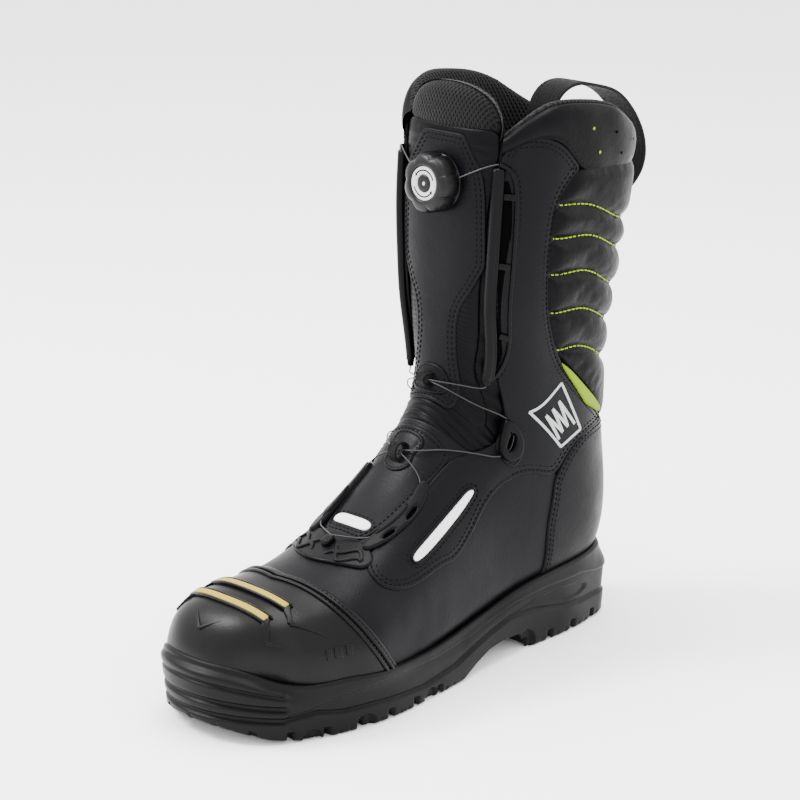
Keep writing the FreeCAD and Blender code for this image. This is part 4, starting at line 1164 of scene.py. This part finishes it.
SLOT_REFLECTOR = [(7.22, -12.5), (7.20, 0), (7.22, 12.5), (7.33, 14.5), (7.45, 12.5), (7.43, 0),
                  (7.45, -12.5), (7.33, -14.5)]
INSTEP = [(6.98, -15), (7.4, -19.5), (8.4, -20), (9.3, -21), (9.98, -20), (10.02, 0)]
instep, instep_loop = panel("instep_leather", INSTEP + [(s, -a) for s, a in INSTEP[-2::-1]], 0.9, 1.2, LEATHER,
                            "boot", "leather", sharp={4: 4, 6: 4, 0: 5, 10: 5}, groove=0.2, step=1.8,
                            fill=(0.14, 4.0))
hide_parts("instep_shield")
stitches("instep_thread", stitch_rows(instep_loop, (2.6,)), 0.9, THREAD, "boot")
reflector, slot_loop = panel("instep_reflector_film", SLOT_REFLECTOR, 1.6, 0.5, REFLECTIVE, "boot", "reflective",
                             groove=0.0, step=1.0, fill=(0.05, 2.0), skirt=0.6)
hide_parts("instep_reflector")
around_slot = sideways(slot_loop, np.full(len(slot_loop), 2.0), closed=True)
if not inside(slot_loop[:1], around_slot)[0]:
    around_slot = sideways(slot_loop, np.full(len(slot_loop), -2.0), closed=True)
stitches("instep_slot_thread", [(around_slot, True)], 0.95, THREAD, "boot")


# ------------------------------------------------------------------ toe details

def arc_path(points, count, height=0.0):
    path = smooth_path(points, count)
    return np.column_stack([path, np.full(len(path), height)])


STRIPS = {
    "front": [(3.66, -46), (3.57, -20), (3.55, 3), (3.57, 22), (3.60, 41)],
    "rear": [(4.37, -42), (4.29, -20), (4.27, 2), (4.29, 22), (4.34, 39)],
}
SPIKES = {
    "front": [(3.60, 40), (3.42, 44), (3.30, 48), (3.07, 54), (3.10, 55.5), (3.22, 59), (3.41, 63.5)],
    "rear": [(4.34, 38), (4.22, 42), (4.13, 46), (4.00, 50), (4.08, 52), (4.45, 60), (4.90, 69)],
}
for name, line in STRIPS.items():
    centre = arc_path(line, 60)
    points, faces = sweep(centre + [0, 0, 1.5], bar_section(4.0, 1.9, 0.9, -0.6), scale=rounded_ends(60, 0.02))
    strip = mesh(name + "_toe_strip_film", points, faces, STRIP, "boot")
    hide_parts(name + "_toe_strip")
    for side_shift in (-0.135, 0.135):
        channel = arc_path([(s + side_shift, a * 1.03) for s, a in line], 60)
        points, faces = sweep(channel + [0, 0, 1.2], bar_section(1.5, 2.2, 0.7, -0.8), scale=rounded_ends(60, 0.03))
        mesh(name + "_strip_rim_" + ("fore" if side_shift < 0 else "back"), points, faces, TOE_LEATHER, "boot")
    for turn in (1, -1):
        spike = np.array(SPIKES[name]) * [1, turn]
        step = np.array([[s, a, 1.25] for s, a in spike[:4]])
        dense = np.column_stack([np.interp(np.linspace(0, 3, 24), range(4), step[:, k]) for k in range(3)])
        points, faces = sweep(dense, bar_section(3.6, 1.5, 0.7, -0.8), scale=np.linspace(1.2, 0.75, 24))
        mesh(name + "_toe_step_" + ("outer" if turn > 0 else "inner"), points, faces, TOE_LEATHER, "boot")
        tip = np.array([[s, a, 1.25] for s, a in spike[3:]])
        dense = np.column_stack([np.interp(np.linspace(0, len(tip) - 1, 30), range(len(tip)), tip[:, k])
                                 for k in range(3)])
        points, faces = sweep(dense, bar_section(3.0, 1.5, 0.7, -0.8), scale=np.linspace(1.0, 0.12, 30))
        mesh(name + "_toe_spike_" + ("outer" if turn > 0 else "inner"), points, faces, TOE_LEATHER, "boot")
for number, line in enumerate(([(2.89, -15), (2.34, 1)], [(2.34, 1), (2.83, 16)])):
    dense = np.column_stack([np.linspace(line[0][0], line[1][0], 24), np.linspace(line[0][1], line[1][1], 24),
                             np.full(24, 1.2)])
    sizes = np.linspace(0.3, 1.0, 24) if number == 0 else np.linspace(1.0, 0.15, 24)
    points, faces = sweep(dense, bar_section(2.2, 1.3, 0.6, -0.6), scale=sizes)
    mesh("toe_chevron_" + "ab"[number], points, faces, TOE_LEATHER, "boot")
# plain raised marks where the real boot has a moulded name
for number, (first, last) in enumerate(((4.42, 4.62), (4.72, 5.02), (5.12, 5.34))):
    dense = np.column_stack([np.linspace(first, last, 12), np.full(12, 76.0), np.full(12, 1.05)])
    points, faces = sweep(dense, bar_section(6.0, 1.0, 0.5, -0.5), scale=rounded_ends(12, 0.1))
    mesh("toe_mark_" + str(number), points, faces, TOE_LEATHER, "boot")


# ------------------------------------------------------------------ side reflector and badge

for side_name, turn in (("lateral", 1), ("medial", -1)):
    pill_left = [(7.62, 43.0), (8.22, 39.6), (8.79, 37.6), (9.36, 36.2), (9.85, 35.0)]
    pill_right = [(10.05, 37.4), (9.38, 41.0), (8.86, 43.0), (8.28, 45.3), (7.85, 47.2), (7.62, 47.2)]
    pill = [(s, a * turn) for s, a in pill_left + pill_right]
    film, film_loop = panel(side_name + "_reflector_film", pill, 1.75, 0.5, REFLECTIVE, "boot", "reflective",
                            groove=0.0, step=1.0, fill=(0.06, 2.0), skirt=0.8)
    grown = {}
    for gap in (0.9, 3.4):
        wide = sideways(film_loop, np.full(len(film_loop), gap), closed=True)
        if not inside(film_loop[:1], wide)[0]:
            wide = sideways(film_loop, np.full(len(film_loop), -gap), closed=True)
        grown[gap] = wide
    rim = np.column_stack([grown[0.9], np.full(len(film_loop), 0.9)])
    rim = np.vstack([rim, rim[:2]])
    points, faces = sweep(rim, bar_section(1.3, 1.15, 0.5, -0.6), ends=False)
    mesh(side_name + "_reflector_rim", points, faces, LEATHER, "boot")
    stitches(side_name + "_reflector_thread", [(grown[3.4], True)], 1.15, THREAD, "boot")
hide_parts("side_reflectors")

BADGE_CORNERS = [(13.27, 45), (14.67, 88), (13.82, 117), (13.03, 85)]


def badge_place(u, v):
    """Place on the badge: u along its long side, v across, both from 0 to 1."""
    a, b, c, d = [np.array(corner, float) for corner in BADGE_CORNERS]
    top = a + (b - a) * u
    low = d + (c - d) * u
    return tuple(top + (low - top) * v)


def badge_line(name, stops, width=1.5):
    points = [badge_place(u, v) for u, v in stops]
    parts = []
    for start, end in zip(points, points[1:]):
        count = 14
        line = np.column_stack([np.linspace(start[0], end[0], count), np.linspace(start[1], end[1], count),
                                np.full(count, 1.1)])
        line[:, 2] = 1.12 + quarter_shape(line[:, 0], line[:, 1], 20.0)
        parts.append(sweep(line, bar_section(width, 0.45, 0.2, -0.4)))
    points, faces = join(parts)
    return mesh(name, points, faces, BADGE, "boot")


frame_line = badge_line("badge_frame", [(0.02, 0.04), (0.98, 0.04), (0.98, 0.96), (0.02, 0.96), (0.02, 0.04)], 1.6)
badge_line("badge_flames", [(0.14, 0.80), (0.26, 0.24), (0.38, 0.74), (0.50, 0.24), (0.62, 0.74), (0.74, 0.24),
                            (0.86, 0.80)], 1.9)
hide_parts("side_badge")


# ------------------------------------------------------------------ lace guides

def slab(name, outline, top, thick, look, body, slot_name, **options):
    return panel(name, outline, top, thick, look, body, slot_name, groove=0.0, **options)


def turned(points, turn):
    return [(p[0], p[1] * turn) + tuple(p[2:]) for p in points]


RAIL_BAR = [(13.46, 24.0, 1.0), (13.8, 26.2, 1.0), (14.4, 29.2, 1.0), (15.3, 32.2, 1.0), (16.4, 33.8, 1.0),
            (17.4, 33.9, 1.0), (18.3, 33.6, 1.0), (18.98, 33.2, 1.0)]
RAIL_RIM = [(19.02, 33.5, 1.0), (18.98, 36.5, 1.0), (18.86, 39.8, 1.0), (18.5, 42.4, 1.0), (17.8, 43.6, 1.0),
            (16.9, 44.2, 1.0), (15.9, 43.8, 1.0), (15.1, 41.6, 1.0), (14.6, 38.0, 1.0), (14.15, 33.4, 1.0),
            (13.75, 28.6, 1.0), (13.5, 25.0, 1.0)]
RAIL_FACETS = [(-3.6, -0.4), (3.6, -0.4), (3.6, 1.8), (3.2, 2.6), (2.6, 2.8), (1.8, 2.8), (1.4, 3.3), (0.6, 3.7),
               (-1.5, 3.7), (-2.3, 3.3), (-3.2, 2.2), (-3.6, 1.4)]
for side_name, turn in (("lateral", 1), ("medial", -1)):
    facets = RAIL_FACETS if turn > 0 else [(-x, y) for x, y in RAIL_FACETS[::-1]]
    bar = smooth_path(turned(RAIL_BAR, turn), 90)
    parts = [sweep(bar, facets, scale=rounded_ends(90, 0.015))]
    rim = smooth_path(turned(RAIL_RIM, turn), 110)
    parts.append(sweep(rim, bar_section(2.2, 2.4, 0.8, -0.4)))
    for station in (18.45, 17.0, 15.2):
        bridge = np.array([(station, angle * turn, 1.0) for angle in np.linspace(36.5, 42.8, 8)])
        parts.append(sweep(bridge, bar_section(3.6, 2.1, 0.5, -0.4)))
    points, faces = join(parts)
    rail = mesh(side_name + "_rail", points, faces, PLASTIC, "boot")
    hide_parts(side_name + "_rail_guide")
    # Painted shade in the rail's three slits: thin near-black bars on the plastic.
    dark = []
    for station, angle in ((18.45, 35.6), (17.0, 35.8), (15.2, 34.2)):
        slit = np.array([(s, angle * turn, 3.4) for s in np.linspace(station - 0.14, station + 0.16, 8)])
        dark.append(sweep(slit, bar_section(1.2, 0.16, 0.06, -0.4)))
    points, faces = join(dark)
    mesh(side_name + "_rail_slot_shade", points, faces, HOLE_SHADE_AND_PRINT, "boot")
    # Painted shade on the floor of the rail's recess: a near-black sheet on the quarter.
    recess = turned([(18.82, 36), (18.72, 39), (18.3, 41.6), (17.2, 43.2), (15.9, 42.8), (15.1, 40.4), (14.6, 36.8),
                     (14.2, 32.6), (13.85, 28.8), (14.2, 30.5), (15.2, 34), (16.5, 36.2), (18.0, 36.4)], turn)
    slab(side_name + "_rail_recess_shade", recess, 1.3, 0.5, HOLE_SHADE_AND_PRINT, "boot", "guide_plastic", lift=quarter_shape, step=1.6)
    nub = np.array([(s, 23.6 * turn, 1.2) for s in np.linspace(13.26, 13.56, 10)])
    points, faces = sweep(nub, bar_section(4.4, 3.2, 1.3, -0.4), scale=rounded_ends(10, 0.3))
    mesh(side_name + "_rail_foot", points, faces, PLASTIC, "boot")
    sewing = smooth_path([(s, (a + 2.3) * turn) for s, a, h in RAIL_RIM[1:-1]], 120)
    stitches(side_name + "_rail_thread", [(sewing, False)], 1.15, THREAD, "boot")

    block = turned([(11.30, 31), (11.36, 36), (11.70, 38.8), (12.15, 39.2), (12.50, 37.4), (12.60, 32),
                    (12.48, 28.4), (12.1, 27.2), (11.6, 28.0)], turn)
    window = turned([(11.62, 31.2), (11.62, 33.4), (11.9, 34.3), (12.2, 33.6), (12.22, 31.6), (11.95, 30.6)], turn)
    guide, guide_loop = slab(side_name + "_ankle_frame", block, 6.2, 5.0, PLASTIC, "boot", "guide_plastic",
                             holes=(window,), step=1.1, fill=(0.06, 2.0))
    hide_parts(side_name + "_ankle_guide")
    # Painted shade in the frame's window: a near-black sheet below it.
    slab(side_name + "_ankle_window_shade", window, 2.2, 0.8, HOLE_SHADE_AND_PRINT, "boot", "guide_plastic", step=1.2, fill=(0.06, 2.0))
    tab = turned([(11.3, 28), (11.34, 41), (11.9, 42), (12.5, 41), (12.55, 28.5), (12.0, 27.4)], turn)
    patch, tab_loop = slab(side_name + "_ankle_tab", tab, 2.2, 1.1, LEATHER, "boot", "leather", step=1.4)
    stitches(side_name + "_ankle_tab_thread", stitch_rows(tab_loop, (1.5,)), 2.2, THREAD, "boot",
             where=lambda s, a: np.abs(a) > 38)

    crescent = turned([(8.92, 17.6), (8.86, 21.4), (8.55, 25.4), (8.1, 28.0), (7.5, 29.0), (7.1, 27.8),
                       (6.86, 24.6), (6.9, 21.0), (7.1, 19.6), (7.5, 19.8), (8.0, 20.0), (8.4, 18.8),
                       (8.62, 17.2)], turn)
    slots = [turned([(8.28, 23.6), (8.30, 25.2), (7.98, 26.6), (7.95, 25.0)], turn),
             turned([(7.60, 25.2), (7.62, 27.0), (7.33, 26.8), (7.32, 25.0)], turn)]
    lower, lower_loop = slab(side_name + "_lower_frame", crescent, 3.6, 3.0, PLASTIC, "boot", "guide_plastic",
                             holes=slots, step=1.2, fill=(0.06, 2.0))
    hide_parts(side_name + "_lower_guide")
    # Painted shade in the two slots: near-black sheets below them.
    for number, slot_shape in enumerate(slots):
        slab(side_name + "_lower_slot_shade_" + "ab"[number], slot_shape, 1.4, 0.4, HOLE_SHADE_AND_PRINT, "boot", "guide_plastic",
             step=1.0, fill=(0.06, 2.0))
    lens = turned([(8.22, 20.2), (8.1, 22.4), (7.7, 23.2), (7.35, 22.4), (7.22, 21.0), (7.45, 19.9),
                   (7.85, 19.3)], turn)
    slab(side_name + "_lower_blade", lens, 4.5, 1.2, PLASTIC, "boot", "guide_plastic", step=1.1,
         fill=(0.06, 2.0))
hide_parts("ankle_guide_tabs")

TOE_PLATE = [(6.58, -35), (6.95, -33), (7.02, -16), (7.02, 16), (6.95, 33), (6.58, 35), (6.30, 22), (6.14, 8),
             (6.12, 0), (6.14, -8), (6.30, -22)]
plate, plate_loop = slab("toe_lace_plate", TOE_PLATE, 1.9, 1.7, PLASTIC, "boot", "guide_plastic", step=1.2,
                         fill=(0.05, 2.2))
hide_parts("toe_guide")
relief_parts = []
for shift, wave in ((0.0, 0.24), (0.21, 0.2)):
    for turn in (1, -1):
        wavy = []
        for t in np.linspace(0, 1, 40):
            angle = 6 + 24 * t
            station = 6.34 + shift + 0.22 * t + wave * 0.5 * math.sin(t * 9.0 + shift * 8)
            wavy.append((station, angle * turn, 1.6))
        relief_parts.append(sweep(np.array(wavy), bar_section(2.3, 1.3, 0.7, -0.3), scale=rounded_ends(40, 0.12)))
points, faces = join(relief_parts)
mesh("toe_lace_relief", points, faces, PLASTIC, "boot")
hook_body = np.array([(s, 0.0, 1.6) for s in np.linspace(6.52, 6.80, 12)])
points, faces = sweep(hook_body, bar_section(6.0, 3.6, 1.4, -0.3), scale=rounded_ends(12, 0.25))
mesh("toe_lace_hook", points, faces, PLASTIC, "boot")


# ------------------------------------------------------------------ lace loops and patches

def strap_loop(name, first, middle, last, rise, body, replaced):
    """Webbing strap that rises over the crossing laces and comes back down."""
    stations = np.linspace(first, last, 26)
    t = np.linspace(-1, 1, 26)
    outer = rise * np.sqrt(np.clip(1 - np.abs(t) ** 2.6, 0, 1)) + 1.2
    path = np.column_stack([stations, np.zeros(26), outer])
    points, faces = sweep(path, [(-2.9, -0.6), (2.9, -0.6), (2.9, 0.6), (-2.9, 0.6)])
    loop = mesh(name, points, faces, WEBBING, body, smooth=False)
    verts = np.array([v.co for v in loop.data.vertices]) / MM
    layer = loop.data.attributes.new("pattern", "FLOAT_VECTOR", "POINT")
    run = np.repeat(np.linspace(0, 20, 26), 4)
    layer.data.foreach_set("vector", np.column_stack([verts[:, 0], run, run * 0]).astype(np.float32).ravel())
    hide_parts(replaced)


strap_loop("upper_lace_strap", 11.78, 12.15, 12.52, 7.6, "tongue", "upper_lace_loop")
strap_loop("lower_lace_strap", 8.86, 9.1, 9.36, 7.6, "boot", "lower_lace_loop")
UPPER_PATCH = [(11.5, -4), (11.5, 4), (11.8, 7.5), (12.4, 8), (12.9, 6.5), (13.12, 2.5), (13.12, -2.5),
               (12.9, -6.5), (12.4, -8), (11.8, -7.5)]
LOWER_PATCH = [(8.62, -3.5), (8.62, 3.5), (8.86, 8.5), (9.2, 6.5), (9.5, 9), (9.78, 7), (9.84, 0), (9.78, -7),
               (9.5, -9), (9.2, -6.5), (8.86, -8.5)]
for name, shape, body in (("upper_loop_patch", UPPER_PATCH, "tongue"), ("lower_loop_patch", LOWER_PATCH, "boot")):
    patch, patch_loop = panel(name + "_leather", shape, 2.0, 1.1, LEATHER, body, "leather", groove=0.25,
                              step=1.1, fill=(0.06, 2.0))
    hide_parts(name)
    stitches(name + "_thread", stitch_rows(patch_loop, (1.7,)), 2.0, THREAD, body, pitch=2.4,
             length=1.8, radius=0.26)


# ------------------------------------------------------------------ laces

LACE_RADIUS = 0.4
LOOP_HEIGHT = 5.4
DIAL_RUN = [(18.72, 15, 4.6), (18.86, 22, 3.5), (18.97, 28, 2.9), (19.03, 33, 2.7)]
RAIL_RUN = [(18.69, 35.2, 2.4), (17.4, 33.9, 1.2), (15.3, 32, 1.2), (14.3, 28.6, 1.2), (13.6, 26, 2.4)]
SHIN_RUN = [(13.59, 26, 2.4), (13.3, 23.5, 2.7), (13.0, 20, 2.6), (12.65, 13, 3.0), (12.35, 7, 4.4),
            (12.15, 0, LOOP_HEIGHT), (12.05, -8, 4.4), (12.15, -17, 2.6), (12.45, -26, 2.5),
            (12.5, -32, 3.2), (12.35, -33.5, 3.2)]
INSTEP_RUN = [(12.33, -33.5, 3.2), (12.0, -33.8, 3.2), (11.6, -33.6, 3.2), (11.2, -31.5, 3.2),
              (10.7, -25, 3.0), (9.9, -16.5, 2.8), (9.3, -8.5, 4.4), (9.1, 0, LOOP_HEIGHT),
              (8.95, 8.5, 4.4), (8.82, 16, 2.9), (8.55, 21.5, 2.7), (8.0, 24, 2.7),
              (7.4, 24, 2.7), (7.06, 19, 3.0), (6.9, 10, 3.6), (6.78, 0, 4.4)]


def lace_points(run, turn, lift):
    rows = np.array([(s, a * turn, h + (lift if a == 0 and s > 7 else 0.0)) for s, a, h in run])
    return on_boot(rows[:, 0], rows[:, 1], rows[:, 2])


def lace_curve(name, run, turn, body, lift=0.0):
    """Smooth spline through the run's points, with a round bevel."""
    data = bpy.data.curves.new(name, "CURVE")
    data.dimensions = "3D"
    data.bevel_depth = LACE_RADIUS * MM
    data.bevel_resolution = 3
    data.resolution_u = 10
    places = lace_points(run, turn, lift) * MM
    line = data.splines.new("NURBS")
    line.points.add(len(places) - 1)
    for point, place in zip(line.points, places):
        point.co = (*place, 1)
    line.order_u = 3
    line.use_endpoint_u = True
    data.materials.append(LACE)
    piece = bpy.data.objects.new(name, data)
    bpy.context.scene.collection.objects.link(piece)
    if body:
        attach(piece, body)
    return piece


def lace_tube(name, run, turn, lift=0.0):
    """Lace stretch between tongue and boot, as a tube."""
    places = lace_points(run, turn, lift)
    curve = spline(np.arange(len(places)), places)
    line = curve(np.linspace(0, len(places) - 1, 90))
    points, faces = sweep_points(line, np.tile([0.3, -0.9, 0.3], (90, 1)),
                                 [(LACE_RADIUS * math.cos(t), LACE_RADIUS * math.sin(t))
                                  for t in np.radians(range(0, 360, 45))])
    piece = mesh(name, points, faces, LACE, None)
    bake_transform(piece)
    return piece


for side_name, turn, lift in (("lateral", 1, 0.75), ("medial", -1, -0.75)):
    first, last = lace_points(DIAL_RUN, turn, 0)[[0, -1]]
    dial_lace = lace_tube(side_name + "_dial_lace", DIAL_RUN, turn)
    lace_curve(side_name + "_rail_lace", RAIL_RUN, turn, "boot")
    near, far = SHIN_RUN[:6], SHIN_RUN[5:]
    ends = lace_points(near, turn, lift)
    lace_tube(side_name + "_shin_lace_upper", near, turn, lift)
    ends = lace_points(far, turn, lift)
    lace_tube(side_name + "_shin_lace_lower", far, turn, lift)
    lace_curve(side_name + "_instep_lace", INSTEP_RUN, turn, "boot", lift)
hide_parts("lace_dial_runs")
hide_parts("lace_rail_runs")
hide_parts("lace_shin_runs")
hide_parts("lace_instep_run")


# ------------------------------------------------------------------ dial

SEAT = on_boot(18.55, 0.0, 0.0)
LEAN = math.radians(4.0)
AXIS = np.array([0, -math.cos(LEAN), math.sin(LEAN)])
ACROSS = np.array([1.0, 0, 0])
UPWARD = np.cross(AXIS, ACROSS)


def dial_point(radius, turn, height):
    return SEAT + AXIS * height + radius * (ACROSS * math.cos(turn) + UPWARD * math.sin(turn))


def turned_piece(name, profile, look, body, steps=168, lobes=0.0, knurl=0.0):
    """Piece turned about the dial's axis; profile lists (radius, height, share of lobes and knurl)."""
    points = []
    for radius, height, share in profile:
        for k in range(steps):
            turn = 2 * math.pi * k / steps
            wave = lobes * (abs(math.cos(3.5 * turn)) ** 0.7 - 0.55)
            within = (7 * turn / (2 * math.pi)) % 1.0
            ribbed = 1.0 if 0.14 < abs(within - 0.5) else 0.0
            rib = knurl * ribbed * (1 if k % 2 else -1)
            points.append(dial_point(radius + share * (wave + rib), turn, height))
    faces = grid_faces(len(profile), steps, close_columns=True)
    verts = np.array(points)
    normal = np.cross(verts[faces[0][1]] - verts[faces[0][0]], verts[faces[0][2]] - verts[faces[0][0]])
    return mesh(name, verts, faces, look, body)


KNOB = [(15.2, 2.4, 0), (15.9, 2.4, 0.8), (16.4, 2.9, 1), (16.4, 7.6, 1), (16.0, 9.5, 1), (15.8, 11.2, 1),
        (15.2, 12.4, 1), (14.2, 13.2, 0.7), (12.6, 13.8, 0.3), (11.2, 14.0, 0), (10.2, 13.9, 0), (9.8, 13.5, 0),
        (9.6, 12.9, 0), (0.1, 12.9, 0)]
knob = turned_piece("dial_grip", KNOB, DIAL_PLASTIC, "dial", steps=252, lobes=1.9, knurl=0.2)
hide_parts("dial_knob")
LABEL_RING = [(9.5, 12.8, 0), (9.4, 13.35, 0), (9.2, 13.45, 0), (5.3, 13.45, 0), (5.1, 13.2, 0), (5.0, 12.8, 0)]
label = turned_piece("dial_label_ring", LABEL_RING, LABEL, "dial", steps=96)
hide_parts("dial_cap")
HUB = [(5.1, 12.9, 0), (4.8, 13.3, 0), (4.2, 13.6, 0), (1.8, 13.7, 0), (1.3, 13.6, 0), (1.1, 13.2, 0), (0.1, 13.2, 0)]
turned_piece("dial_hub", HUB, DIAL_PLASTIC, "dial", steps=64)
SCREW = [(1.0, 13.1, 0), (1.0, 13.5, 0), (0.8, 13.7, 0), (0.1, 13.75, 0)]
screw = turned_piece("dial_screw_head", SCREW, STEEL, "dial", steps=32)
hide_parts("dial_screw")
BASE = [(15.9, 0.2, 0), (16.0, 0.8, 0), (15.8, 1.3, 0), (15.4, 1.5, 0), (14.6, 1.8, 0), (14.4, 3.2, 0),
        (14.4, 4.6, 0), (14.2, 5.0, 0), (14.0, 5.1, 0), (13.8, 5.1, 0)]
base = turned_piece("dial_seat", BASE, DIAL_PLASTIC, "tongue", steps=96)
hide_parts("dial_base")
marks = []
for start, sweep_angle in ((0.35, 2.1), (3.5, 2.1)):
    arc = np.linspace(start, start + sweep_angle, 30)
    line = np.array([dial_point(7.4, t, 13.46) for t in arc])
    points, faces = sweep_points(line, np.tile(AXIS, (30, 1)), [(-0.4, -0.2), (0.4, -0.2), (0.4, 0.08), (-0.4, 0.08)])
    marks.append((points, faces))
    tip = start + sweep_angle
    head = [dial_point(7.4, tip + 0.24, 13.54), dial_point(8.5, tip, 13.54), dial_point(6.3, tip, 13.54)]
    marks.append((np.array(head), [(0, 1, 2)]))
points, faces = join(marks)
mesh("dial_arrows", points, faces, HOLE_SHADE_AND_PRINT, "dial", smooth=False)


# ------------------------------------------------------------------ pull loop

PULL_LOOP = [(164, 247), (180, 252), (192, 264), (192, 281), (182, 298), (167, 311), (150, 317),
             (134, 320), (120, 316), (113, 304), (119, 292), (133, 284), (147, 276)]
pull_curve = spline(np.arange(len(PULL_LOOP)), PULL_LOOP)(np.linspace(0, len(PULL_LOOP) - 1, 120))
pull_line = np.column_stack([0.6 * np.sin(np.linspace(0, 5, 120)), pull_curve])
strip_section = []
for x in np.linspace(-10, 10, 25):
    strip_section.append((x, 0.85 + 0.12 * math.cos(x * 2.4)))
for x in np.linspace(10, -10, 25):
    strip_section.append((x, -0.85 - 0.12 * math.cos(x * 2.4)))
along = unit(np.gradient(pull_line, axis=0))
normals = np.cross(np.tile([1.0, 0, 0], (120, 1)), along)
points, faces = sweep_points(pull_line, normals, strip_section)
run = np.concatenate([[0], np.cumsum(np.linalg.norm(np.diff(pull_line, axis=0), axis=1))])
pattern = np.column_stack([np.tile([s[0] for s in strip_section], 120), np.repeat(run, len(strip_section)),
                           np.zeros(len(strip_section) * 120)])
pull = mesh("pull_strap", points, faces, WEBBING, "boot", pattern=pattern)
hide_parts("pull_loop")
PATCH = [(18.80, 160), (18.78, 180), (18.80, 200), (19.16, 200), (19.18, 180), (19.16, 160)]
patch, patch_loop = panel("pull_strap_patch", PATCH, 4.6, 1.6, SOFT_LEATHER, "boot", "soft_leather",
                          sharp={0: 3, 2: 3, 3: 3, 5: 3}, groove=0.2, step=1.5, fill=(0.08, 3.0), skirt=2.5)
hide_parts("pull_loop_patch")
stitches("pull_strap_thread", stitch_rows(patch_loop, (1.8,)), 4.6, THREAD, "boot", pitch=2.6,
         length=2.0)

# ------------------------------------------------------------------ studio

def light(name, place, size, power, target):
    data = bpy.data.lights.new(name, "AREA")
    data.shape = "RECTANGLE"
    data.size, data.size_y = size
    data.energy = power
    lamp = bpy.data.objects.new(name, data)
    lamp.location = place
    lamp.rotation_euler = (Vector(target) - Vector(place)).to_track_quat("-Z", "Y").to_euler()
    bpy.context.scene.collection.objects.link(lamp)


world = bpy.data.worlds.new("studio")
bpy.context.scene.world = world
world.use_nodes = True
world.node_tree.nodes["Background"].inputs["Color"].default_value = (1, 1, 1, 1)
world.node_tree.nodes["Background"].inputs["Strength"].default_value = 3.0
floor_data = bpy.data.meshes.new("floor")
floor_data.from_pydata([(-6, -6, -0.0005), (6, -6, -0.0005), (6, 6, -0.0005), (-6, 6, -0.0005)], [], [(0, 1, 2, 3)])
floor = bpy.data.objects.new("floor", floor_data)
floor_data.materials.append(material("floor", (0.95, 0.95, 0.95), 0.9, 0.0))
bpy.context.scene.collection.objects.link(floor)
middle = (0, 0, 0.16)
light("key", (-0.9, -0.9, 1.5), (0.6, 0.6), 60, middle)
light("side", (1.5, -0.6, 0.8), (0.25, 1.0), 4, middle)
light("rim", (0.9, 1.3, 0.9), (0.4, 1.0), 7, middle)
light("top", (0.0, 0.1, 1.7), (1.0, 1.0), 40, middle)

camera_data = bpy.data.cameras.new("camera")
camera = bpy.data.objects.new("camera", camera_data)
bpy.context.scene.collection.objects.link(camera)
camera_data.sensor_width = 36
camera_data.lens = 120.15
target = Vector((-0.00431, 0.00248, 0.15571))
turn, rise, distance = math.radians(-45), math.radians(17), 1.5
camera.location = target + distance * Vector((
    math.cos(rise) * math.cos(turn), math.cos(rise) * math.sin(turn), math.sin(rise)))
camera.rotation_euler = (target - camera.location).to_track_quat("-Z", "Y").to_euler()
bpy.context.scene.camera = camera
